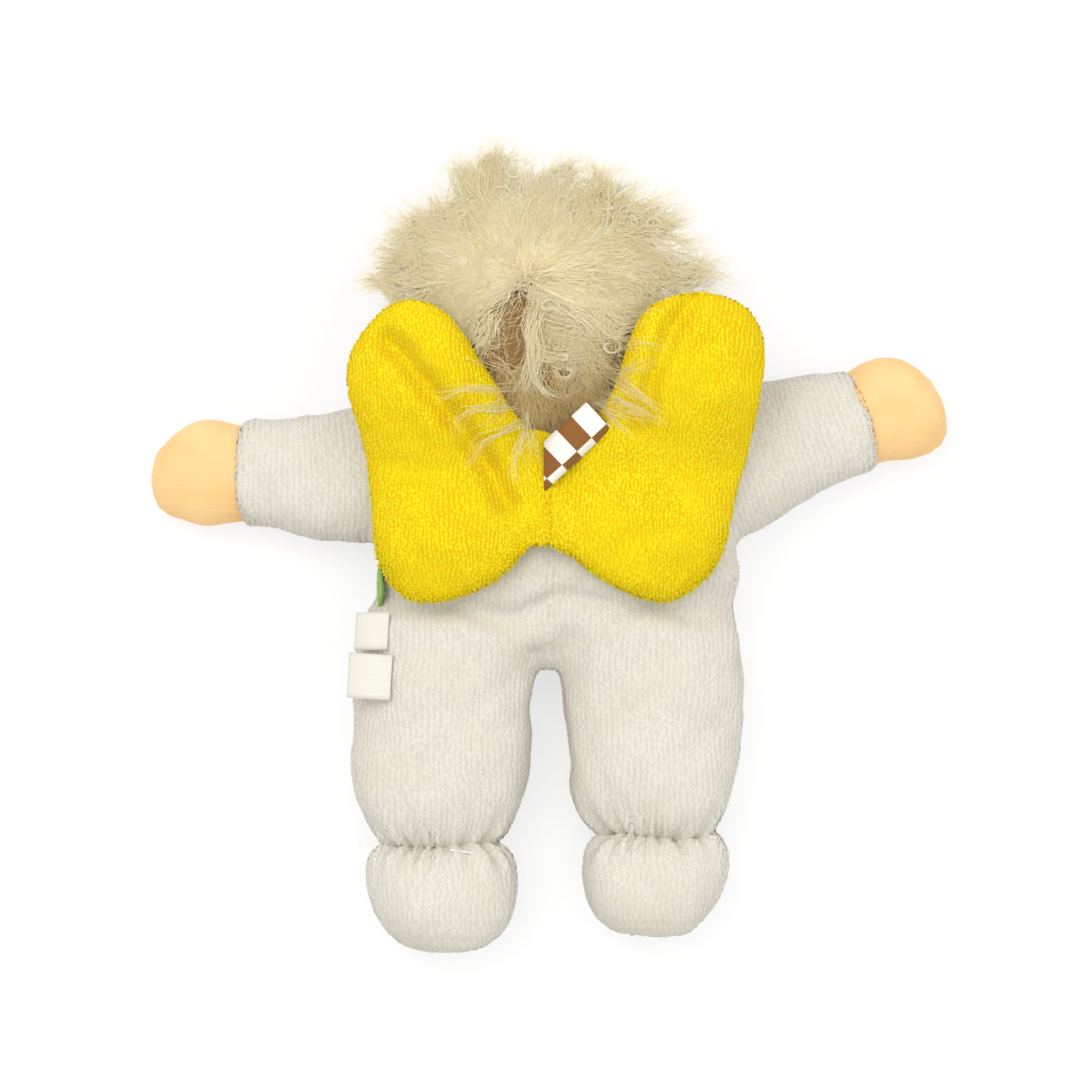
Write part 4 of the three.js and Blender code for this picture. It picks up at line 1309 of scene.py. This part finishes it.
def make_swirls(pieces=2, per_piece=3800, rings=7):
    """Short loose strands on top of the fan, that wander to the sides."""
    rng = np.random.default_rng(17)
    for piece in range(pieces):
        loose = rng.random(per_piece) < 0.09
        beside, within = rng.normal(216, 13, per_piece), rng.uniform(-34, 214, per_piece)
        angle = np.radians(np.where(loose, beside, within))
        reach = fan_reach(angle) * np.sqrt(rng.uniform(0.0, 0.66, per_piece))
        plan = [WHORL + reach[:, None] * heading(angle)]
        step = rng.uniform(0.9, 2.7, per_piece)
        own = rng.normal(0, 0.3, per_piece)
        curve = rng.normal(0, 0.12, per_piece)
        for ring in range(rings - 1):
            away = plan[-1] - WHORL
            run = np.arctan2(away[:, 1], away[:, 0]) + swirl(plan[-1]) + own + curve * ring
            plan.append(plan[-1] + step[:, None] * heading(run))
        plan = np.stack(plan, axis=1)
        t = np.linspace(0, 1, rings)[None]
        height = fan_top(plan) + 0.8 + rng.uniform(0, 1.6, (per_piece, 1))
        height = height + rng.uniform(0, 2.2, (per_piece, 1)) * t
        paths = with_height(plan, np.clip(height, HAIR_LOW, HAIR_TOP))
        tones = 0.6 + 0.2 * noise(with_height(plan[:, 0]), 9, 123) + rng.normal(0, 0.14, per_piece)
        radius = rng.uniform(0.06, 0.12, per_piece)
        put_strands("hair_top_" + str(piece + 1), paths, radius, tones, 0.35 * (reach < 14))


def make_curls(count=64, each=6, rings=15):
    """Small curls on the fan, each of a few strands that turn round together."""
    rng = np.random.default_rng(23)
    angle = np.radians(rng.uniform(-70, 210, count))
    reach = fan_reach(angle) * np.sqrt(rng.uniform(0.04, 0.8, count))
    centre = WHORL + reach[:, None] * heading(angle)
    radius = rng.uniform(1.4, 3.8, count)
    first = rng.uniform(0, TURN, count)
    sweep = np.radians(rng.uniform(150, 430, count)) * rng.choice([-1, 1], count)
    tone = rng.normal(0.75, 0.12, count)
    paths, tones = [], []
    t = np.linspace(0, 1, rings)
    for number in range(count):
        for _ in range(each):
            grow = radius[number] * (0.45 + 0.75 * t) + rng.normal(0, 0.3) + rng.normal(0, 0.4) * t
            turn = first[number] + sweep[number] * t + rng.normal(0, 0.12)
            plan = centre[number] + grow[:, None] * np.column_stack([np.cos(turn), np.sin(turn) * 0.75])
            height = fan_top(plan) + 1.6 + rng.uniform(0, 1.6) + 0.8 * np.sin(3 * t + number)
            paths.append(with_height(plan, np.clip(height, HAIR_LOW, HAIR_TOP)))
            tones.append(tone[number] + rng.normal(0, 0.1))
    radius = rng.uniform(0.07, 0.12, len(paths))
    put_strands("hair_curls", np.array(paths), radius, np.array(tones), np.zeros(len(paths)))


# Long wisps and curls, seen from above: places along the lock, strands, spread and tone.
LOCKS = [
    ([(-6, 86), (-1, 82), (4, 80), (9, 77), (8, 72), (3, 71), (0, 74), (2, 77)], 50, 1.3, 0.75),
    ([(-4, 78), (-6, 70), (-5.5, 62), (-3, 55), (3, 51.5), (9, 52.5), (12, 57), (10, 61)], 34, 0.9, 0.85),
    ([(-4, 90), (-3, 82), (-6, 74), (-4, 66), (-7.4, 57), (-5.5, 49), (-7.5, 41)], 90, 1.9, 0.6),
    ([(-6, 60), (-8.5, 50), (-6.6, 41), (-4.3, 31), (-2.6, 25)], 18, 1.3, 0.75),
    ([(-1, 84), (7, 82), (15, 81), (19, 83.5)], 50, 1.7, 0.85),
    ([(-2, 88), (7, 84), (17, 83), (27, 87), (36, 88)], 70, 2.2, 0.6),
    ([(-1, 80), (8, 77), (18, 76), (27, 79), (33, 82)], 70, 2.4, 0.6),
    ([(3, 76), (10, 74), (16, 69), (20, 62), (21, 55)], 50, 2.4, 0.5),
    ([(-4, 66), (4, 64), (11, 66), (17, 70)], 40, 1.8, 0.6),
    ([(-10, 92), (-17, 88), (-23, 81), (-27, 72)], 60, 2.0, 0.5),
    ([(-9, 91), (-14, 85), (-19, 77), (-21, 68)], 22, 2.6, 0.5),
    ([(-30, 84), (-23, 77.5), (-15, 76.5), (-9, 81)], 12, 2.0, 0.75),
    ([(-29, 76), (-22, 70), (-15, 70), (-10, 74)], 10, 2.0, 0.7),
    ([(-22, 66), (-15, 63), (-11, 57), (-12, 50)], 16, 2.2, 0.6),
    ([(-9, 55), (-17, 54.5), (-27, 54), (-35.5, 51), (-38.8, 50)], 14, 1.1, 0.8),
    ([(-8, 50), (-17, 48), (-25, 47.3), (-31, 43.5), (-31.6, 38)], 16, 1.2, 0.75),
    ([(-7, 44), (-15, 40.5), (-22, 36), (-25.7, 30.4), (-26.4, 26)], 14, 1.3, 0.7),
    ([(-6, 42), (-10, 34), (-11.5, 26), (-10.5, 20.7)], 12, 1.2, 0.7),
    ([(-12, 57), (-16, 50), (-19, 45), (-27, 44)], 14, 1.5, 0.6),
    ([(14, 69), (24, 69), (35, 68), (43, 65)], 12, 1.3, 0.65),
    ([(15, 64), (24, 60), (30, 62), (37, 65)], 16, 1.7, 0.6),
    ([(17, 62), (26, 55), (33.3, 50), (35, 47.6)], 18, 1.7, 0.7),
    ([(13, 57), (24, 51), (34, 45.5), (41, 41.4)], 16, 1.7, 0.7),
    ([(10, 54), (20, 48.5), (30, 46), (38, 46)], 16, 1.6, 0.65),
    ([(9, 52), (17, 50), (24, 43), (30, 40)], 14, 1.6, 0.6),
]


def make_locks(rings=19):
    """Curls and long wisps that lie over the cap and the wings."""
    rng = np.random.default_rng(9)
    paths, tones, radius = [], [], []
    for places, count, spread, tone in LOCKS:
        line = spline(np.column_stack([np.arange(len(places)), places]), rings)[:, 1:]
        t = np.linspace(0, 1, rings)[:, None]
        for _ in range(count):
            drift = rng.normal(0, spread, 2) * (1 - 0.5 * t) + rng.normal(0, spread, 2) * t**2 * 1.3
            phase = rng.uniform(0, TURN)
            wave = rng.uniform(0.1, 0.7) * np.sin(t * rng.uniform(7, 15) + phase) * [1, -1]
            reach = rng.uniform(0.55, 1.0)
            lane = [np.interp(t[:, 0] * reach, t[:, 0], column) for column in line.T]
            plan = np.column_stack(lane) + drift + wave
            height = roof(plan) + 0.4 + rng.uniform(0, 2.0) + 0.8 * np.sin(t[:, 0] * 9 + phase)
            paths.append(with_height(plan, np.minimum(height, HAIR_TOP)))
            tones.append(tone - 0.35 * (count < 20) + rng.normal(0, 0.14))
            radius.append(rng.uniform(0.06, 0.1) if count < 30 else rng.uniform(0.07, 0.13))
    paths = np.array(paths)
    paths[..., 2] = smooth_heights(paths[..., 2])
    dark = np.full(len(paths), 0.15)
    put_strands("hair_locks", paths, np.array(radius), np.array(tones), dark, lies=(57, 75))


def smooth_heights(height, rounds=3):
    """Heights along paths, evened out but never lowered."""
    for _ in range(rounds):
        mean = height.copy()
        mean[:, 1:-1] = (height[:, :-2] + height[:, 1:-1] + height[:, 2:]) / 3
        height = np.maximum(height, mean)
    return height


def make_down(count=4300, rings=7):
    """Thin hair over the lower side of the cap, painted dark for the shade between the head and the wings,
    and paler strands on the seam beside it.
    """
    rng = np.random.default_rng(11)
    start = np.column_stack([rng.uniform(-33, 31, count), rng.uniform(44, 92, count)])
    lean = rng.normal(0, 0.25, count) + 0.6 * noise(with_height(start), 15, 130)
    lean += (start[:, 0] + 4) * 0.022
    # Places where the cap shows: a long one beside the whorl and a round one.
    bare = 1.1 * bell(start[:, 0] + 11.5, 7.5) * smoothstep(start[:, 1], 57, 66) * (start[:, 1] < 95)
    bare += bell(start[:, 0] - 25, 7) * bell(start[:, 1] - 72, 9)
    keep = rng.random(count) > bare * 0.9
    keep &= np.linalg.norm(start - HEAD[:2], axis=1) < CAP_RADIUS + 3
    start, lean = start[keep], lean[keep]
    count = len(start)
    length = rng.uniform(9, 21, count)
    t = np.linspace(0, 1, rings)[None]
    curl = rng.uniform(0.1, 0.8, (count, 1))
    turns = rng.uniform(4, 8, (count, 1)) * t + rng.uniform(0, TURN, (count, 1))
    angle = -math.pi / 2 + lean[:, None] + curl * 0.9 * t * rng.choice([-1, 1], (count, 1))
    reach = (length[:, None] * t)[..., None]
    plan = start[:, None] + reach * heading(angle) + curl[..., None] * heading(turns)
    height = fan_top(plan, 1.0) + 0.2 + rng.uniform(0, 2.2, (count, 1)) * t
    paths = with_height(plan, np.minimum(height, HAIR_TOP))
    # Painted shade: away from the middle, the strands get a low tone and a dark root colour far along their
    # length, for the shade between the head and the wings.
    middle = bell(start[:, 0] - 5, 12) * smoothstep(start[:, 1], 58, 72)
    tones = 0.15 + 0.45 * middle + rng.normal(0, 0.15, count)
    dark = (1 - 0.95 * middle) * rng.uniform(0.2, 0.85, count)
    put_strands("hair_down", paths, rng.uniform(0.06, 0.11, count), tones, dark, fade=2.5, lies=(46, 62))


make_head()
make_hair_body()
make_fan()
make_swirls()
make_curls()
make_locks()
make_down()

# Tape loop, labels, leaf and face ------------------------------------------------------------------------


def tape_material():
    """Cotton tape woven in brown and white checks, two rows of them across."""
    material = new_material("checked_cotton_tape")
    axes = {"X": attribute(material, "along"), "Y": attribute(material, "across")}
    place = add(material, "ShaderNodeCombineXYZ", axes).outputs[0]
    checks = {"Color1": linear("#8a5a2c"), "Color2": linear("#efede4"), "Scale": 1.0, "Vector": place}
    squares = add(material, "ShaderNodeTexChecker", checks).outputs[0]
    threads = wave_texture(material, place, 3.2, 0.4)
    tone = map_range(material, threads, 0.0, 1.0, 0.12, 0.0)
    colour = mixed(material, tone, squares, linear("#6a4a2a"))
    surface(material, colour, 0.85, 0.1, threads, 0.4, 0.0001)
    return material


TAPE = tape_material()
# Woven white label tape, bare, with a fine twill.
LABEL_SHADES = ("#d5d2c5", "#e0ded2")
LABEL = fine_material("white_label_tape", wave_texture, 420.0, 0.3, LABEL_SHADES, 0.75, 0.0, 0.3, 0.00005)
# Green wool felt.
FELT_SHADES = ("#6a9c2c", "#86b647")
FELT = fine_material("green_felt", noise_texture, 900.0, 4.0, FELT_SHADES, 0.95, 0.3, 0.7, 0.0003)


def ribbon(name, line, half_widths, wall, material, columns=9):
    """A tape with thickness along a line of places, its half width a vector at each place."""
    line, half_widths = np.array(line, float), np.array(half_widths, float)
    shares = np.linspace(-1, 1, columns)
    middle = line[:, None] + shares[:, None] * half_widths[:, None]
    half_wall = unit(np.cross(np.gradient(line, axis=0), half_widths))[:, None] * wall / 2
    rings = np.concatenate([middle + half_wall, (middle - half_wall)[:, ::-1]], axis=1)
    return closed_object(name, rings, material), lengths_along(line)[-1]


# The direction in which the tape leans out, seen from above, and its place in the seam.
LOOP_TURN = math.radians(43)
LOOP_ROOT = np.array([-0.3, 31.0, 61.8])
# The checks' size along and across the tape.
CHECK = 6.7
CHECK_ACROSS = 10.4
# The tape's cross-section, as places across and above: a flat face and an edge that bends down.
TAPE_SECTION = [
    (4.9, -0.1), (2.6, 0.2), (0, 0.3), (-2.6, 0.2), (-4.9, -0.4), (-6.1, -1.7), (-6.9, -3.6), (-7.3, -6.0),
]
# The index in TAPE_SECTION where the flat face ends.
TAPE_EDGE = 4
# Out from the seam and back: share of the way to the fold, and height.
TAPE_SIDE = [
    (0, -2.6), (0.12, -1.2), (0.3, -0.6), (0.5, -0.4), (0.7, -0.2), (0.87, 0.2), (0.97, 1.2), (1.0, 2.4),
    (0.965, 3.6), (0.85, 4.5), (0.66, 4.9), (0.45, 4.6), (0.25, 3.4), (0.1, 1.4), (0, -0.6),
]
# How far the fold is from the seam.
TAPE_REACH = 22.6


def make_loop():
    """The hanging loop: a folded tape that leans out of the seam over the right wing."""
    side_view = spline(np.column_stack([np.arange(len(TAPE_SIDE)), TAPE_SIDE]), 96)[:, 1:]
    out, aside = (with_height(heading(LOOP_TURN + turn)) for turn in (0, math.pi / 2))
    across, above = np.array(TAPE_SECTION).T
    # The tape leaves the seam along the doll's middle line, so that each place across starts there.
    start = across * math.tan(LOOP_TURN) - 1.5
    along = start + (TAPE_REACH - start) * side_view[:, :1]
    height = side_view[:, 1:] + above * smoothstep(side_view[:, :1], -0.2, 0.5) + 0.10 * along
    front = LOOP_ROOT + along[..., None] * out + across[:, None] * aside + height[..., None] * [0, 0, 1]
    half_wall = 0.35 * unit(np.cross(np.gradient(front, axis=0), np.gradient(front, axis=1)))
    rings = np.concatenate([front + half_wall, (front - half_wall)[:, ::-1]], axis=1)
    obj = closed_object("tape_loop", rings, TAPE)
    width = lengths_along(np.column_stack([across, above]))
    # The checks run on round the fold: the lower layer's places count from the upper layer's end.
    lower = np.arange(len(along)) < np.argmax(side_view[:, 0])
    stripe = (np.where(lower[:, None], 2 * TAPE_REACH - along, along) - 2.1) / CHECK
    row = np.broadcast_to((width[TAPE_EDGE] - width) / CHECK_ACROSS, stripe.shape)
    for name, cells in (("along", stripe), ("across", row)):
        both_sides = np.concatenate([cells, cells[:, ::-1]], axis=1).ravel()
        set_attribute(obj, name, np.concatenate([both_sides, [0.5, 0.5]]))
    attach(obj, "hanging_loop")
    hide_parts("hanging_loop")


def node_box(node):
    """The lowest and highest corner of a CAD solid, in mm in the doll's frame."""
    low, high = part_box(node)
    return np.array(low) / MM - SHIFT, np.array(high) / MM - SHIFT


def node_middle(node):
    """The middle of a CAD solid's box, and half its sizes."""
    low, high = node_box(node)
    return (low + high) / 2, (high - low) / 2


# The labels lie a little up from the places of their solids, the folded one also further out.
LABEL_SHIFT = np.array([-1.6, 2.4, 0.0])
# The radius of the folded label's fold.
LABEL_FOLD = 0.55


def make_labels():
    """Two labels in the side seam of the left leg, the short one folded double."""
    for name, folded, tilt in (("size_label", True, -0.06), ("care_label", False, 0.03)):
        low, high = (place + LABEL_SHIFT * [folded, 1, 0] for place in node_box(name))
        width = (high[1] - low[1]) / 2
        share = np.linspace(0, 1, 24)
        out = (high[0] - low[0]) * share
        height = high[2] - 0.4 - 4.5 * (1 - share) ** 3 + 0.8 * share
        line = np.column_stack([low[0] + out, (low[1] + high[1]) / 2 + tilt * out, height])
        if folded:
            turn = np.linspace(0, math.pi, 9)[1:]
            fold = np.column_stack([np.sin(turn), 0 * turn, 1 - np.cos(turn)])
            back = line[-2::-1] + [0, 0, 2 * LABEL_FOLD]
            line = np.concatenate([line, line[-1] + LABEL_FOLD * fold, back])
        widths = np.tile([0.06 * width, width, 0.0], (len(line), 1))
        obj, length = ribbon(name + "_tape", line, widths, 0.3, LABEL)
        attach(obj, name)
        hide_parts(name)


def make_leaf():
    """A felt leaf on the left side, seen edge on from above."""
    middle, half = node_middle("leaf_patch")
    t = np.linspace(-1, 1, 25)[:, None]
    angle = np.arange(16) * math.pi / 8
    up = np.sin(angle) * (np.maximum(1 - t * t, 0.02) * half[2] * 1.1)
    # It follows the side of the body, which slants and curves away.
    slant = 0.42 * (up + half[2] * 0.9) - 0.10 * up - 0.02 * up * np.abs(up)
    x = middle[0] - half[0] - 0.9 + np.cos(angle) * 0.6 + slant
    rings = np.stack([x, np.broadcast_to(middle[1] + t * half[1], up.shape), middle[2] + up], axis=-1)
    obj = closed_object("felt_leaf", rings, FELT)
    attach(obj, "torso")
    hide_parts("leaf_patch")


# The seam's thread lies this far below the top of its solid, in the groove between the wings.
SEAM_SUNK = 3.2
# Where the stitches start and stop, in from the seam's ends, how far apart they are, and their radius.
STITCH_START, STITCH_STOP = 3, 19
STITCH_PITCH = 2.6
STITCH_RADIUS = 0.32
# The threads that lie along the seam, below the stitches.
CORE_PITCH = 0.8
CORE_RADIUS = 0.45


def make_seam():
    """Yellow thread that sews the wings to the middle of the back, in slanting stitches."""
    shades = ("#dfb004", "#f2cc0c")
    material = fine_material("yellow_sewing_thread", noise_texture, 2500.0, 2.0, shades, 0.8, 0.0)
    low, high = node_box("wing_stitching")
    high = high - [0, 0, SEAM_SUNK]
    t = np.linspace(0, 1, 13)
    stitch = np.column_stack([0.85 * np.cos(t * math.pi), 1.6 * t, 0.25 * np.sin(t * math.pi)])
    starts = np.arange(low[1] + STITCH_START, high[1] - STITCH_STOP, STITCH_PITCH)
    paths = [stitch + [0, y, high[2] - 0.5] for y in starts]
    # The core sinks in at both ends of the seam.
    sunk = 1 - 0.7 * np.abs(2 * t - 1) ** 5
    along = low[1] + (high[1] - low[1]) * t
    for height in np.arange(0.5, high[2] - low[2] - 0.5, CORE_PITCH):
        paths.append(np.column_stack([t * 0, along, low[2] + 0.3 + height * sunk]))
    paths = np.array(paths)
    radii = np.full(paths.shape[:2], STITCH_RADIUS)
    radii[len(starts) :] = CORE_RADIUS
    obj = tubes("wing_seam", paths, radii, 8, material, np.ones(len(paths)), radii * 0)
    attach(obj, "torso")
    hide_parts("wing_stitching")


make_loop()
make_labels()
make_leaf()
make_seam()


def plain_thread(name, colour):
    """Cotton thread of one colour, with the faint shade of its twist."""
    material = new_material(name)
    twist = noise_texture(material, object_place(material), 1800.0)
    deep = [0.8 * part for part in linear(colour)[:3]] + [1.0]
    surface(material, mixed(material, twist, deep, linear(colour)), 0.7, 0.2)
    return material


def put_thread(name, paths, radius, material, *bodies):
    """Threads along paths, that ride one body, or with two bodies only have their transform baked."""
    paths = np.array(paths)
    radii = np.full(paths.shape[:2], radius)
    obj = tubes(name, paths, radii, 6, material, np.ones(len(paths)), radii * 0, False)
    if len(bodies) == 1:
        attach(obj, bodies[0])
    else:
        bend(obj, *bodies)
    return obj


def make_cuff_stitches():
    """Orange stitches that sew each hand to its sleeve."""
    material = plain_thread("orange_sewing_thread", "#f2b078")
    around = 96
    for side in SIDES:
        rings = oval_rings(HANDS[side], 0, around, 140, FOOT_ROUND)
        # The line where the cuff's edge lies on the hand, a little wider than the hand.
        edge = ARMS[side]["rows"][-1][0] + cuff_bow(rings[..., 1]) - 0.2
        line = rings[np.abs(rings[..., 0] - edge).argmin(axis=0), np.arange(around)]
        line = on_arm(side, line + (line - line.mean(axis=0)) * 0.03)
        paths = [line[[i, (i + 1) % around, (i + 2) % around]] for i in range(0, around, 3)]
        put_thread("cuff_stitches_" + side, paths, 0.24, material, *wrist_ends(side))


def make_thread_end():
    """The white end of a thread that shows in the gathers of the left ankle."""
    material = plain_thread("white_sewing_thread", "#fbfaf4")
    bpy.context.view_layer.update()
    cloth = [bpy.data.objects["romper_left_" + part] for part in ("foot", "leg")]
    path = np.linspace([-33.8, -103.2, 0], [-25.6, -104.6, 0], 12)
    for place in path:
        hits = [obj.ray_cast(to_row([place[0], place[1], 90]), (0, 0, -1)) for obj in cloth]
        heights = [where[2] / MM + GROUND for hit, where, _, _ in hits if hit]
        place[2] = max(heights + [0.0]) + 0.9
    # It bridges the gathers' hollows in one soft curve.
    path[:, 2] = np.polyval(np.polyfit(path[:, 0], path[:, 2], 2), path[:, 0])
    put_thread("ankle_thread_end", path[None], 0.32, material, *ankle_ends("left"))


def make_face():
    """Embroidered eyes and mouth: threads laid side by side on the face."""
    for node, colour in (("left_eye", "#5a7ea6"), ("right_eye", "#5a7ea6"), ("mouth", "#c8705f")):
        middle, half = node_middle(node)
        paths = []
        for aside in np.arange(0.35 - half[0], half[0] - 0.2, 0.42):
            reach = half[1] * math.sqrt(1 - (aside / half[0]) ** 2)
            y = middle[1] + np.linspace(-reach, reach, 7)
            gap = (middle[0] + aside - HEAD[0]) ** 2 + (y - HEAD[1]) ** 2
            z = HEAD[2] - np.sqrt((HEAD_RADIUS + 0.25) ** 2 - gap)
            paths.append(np.column_stack([np.full(7, middle[0] + aside), y, np.maximum(z, 0.95)]))
        material = plain_thread(("blue" if "eye" in node else "red") + "_embroidery_thread", colour)
        obj = put_thread(node + "_stitches", paths, 0.27, material, "head")
        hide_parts(node)


def make_neck_tie():
    """Thread wound round the neck under the head."""
    middle, half = node_middle("neck_tie")
    material = plain_thread("neck_tie_thread", "#f1ead8")
    x, z = (half[0] - 0.5) * heading(np.linspace(0, 2 * math.pi, 41)).T
    z = z * math.cos(NECK_TILT)
    steps = (-0.8, 0.0, 0.8)
    paths = [middle + np.column_stack([x, step - z * math.tan(NECK_TILT), z]) for step in steps]
    obj = put_thread("neck_tie_turns", paths, 0.5, material, "neck")
    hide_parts("neck_tie")


make_cuff_stitches()
make_thread_end()
make_face()
make_neck_tie()

# Stage ---------------------------------------------------------------------------------------------------

FLOOR_SIZE = 4000.0
# The photograph shows this width at the height of the doll's middle.
PHOTO_WIDTH = 372.6
FOCUS_HEIGHT = 30.0
CAMERA_HEIGHT = 1700.0
VIEW_CENTRE = np.array([-2.9, 3.4, 0.0])
# How much of its own white the card shows to the camera, and the sky's strength.
CARD_GLOW = 0.68
SKY = 0.81
# Lights: place in mm, size in metres and power in watts.
LIGHTS = {
    "key_light": ((-650, 700, 1800), 1.4, 18.0),
    "fill_light": ((850, 100, 1700), 1.6, 10.0),
}


def make_stage():
    """White ground and a camera straight above, at the photograph's angle."""
    corners = np.array([(-1, -1), (1, -1), (1, 1), (-1, 1)]) * FLOOR_SIZE / 2
    material = new_material("white_card")
    card = add(material, "ShaderNodeBsdfDiffuse", {"Color": linear("#f7f7f8")})
    white = add(material, "ShaderNodeEmission", {"Color": (1, 1, 1, 1)})
    share = times(material, add(material, "ShaderNodeLightPath").outputs["Is Camera Ray"], CARD_GLOW)
    mix = add(material, "ShaderNodeMixShader", {0: share, 1: card.outputs[0], 2: white.outputs[0]})
    add(material, "ShaderNodeOutputMaterial", {"Surface": mix.outputs[0]})
    floor = mesh_object("floor", with_height(corners, GROUND - GROUND_GAP), [[0, 1, 2, 3]], material)
    camera = new_object("camera", bpy.data.cameras.new("camera"))
    camera.location = to_row(VIEW_CENTRE + [0, 0, CAMERA_HEIGHT])
    camera.data.lens_unit = "FOV"
    camera.data.angle = 2 * math.atan(PHOTO_WIDTH / 2 / (CAMERA_HEIGHT - FOCUS_HEIGHT))
    camera.data.clip_end = 20
    bpy.context.scene.camera = camera
    world = bpy.data.worlds.new("studio")
    bpy.context.scene.world = world
    world.use_nodes = True
    sky = world.node_tree.nodes["Background"].inputs
    sky["Color"].default_value = (1, 1, 1, 1)
    sky["Strength"].default_value = SKY
    for name, (place, size, power) in LIGHTS.items():
        lamp = bpy.data.lights.new(name, "AREA")
        lamp.energy = power
        lamp.size = size
        light = new_object(name, lamp)
        light.location = to_row(place)
        light.rotation_euler = (-light.location).to_track_quat("-Z", "Y").to_euler()


make_stage()

bpy.context.scene.view_settings.view_transform = "Standard"
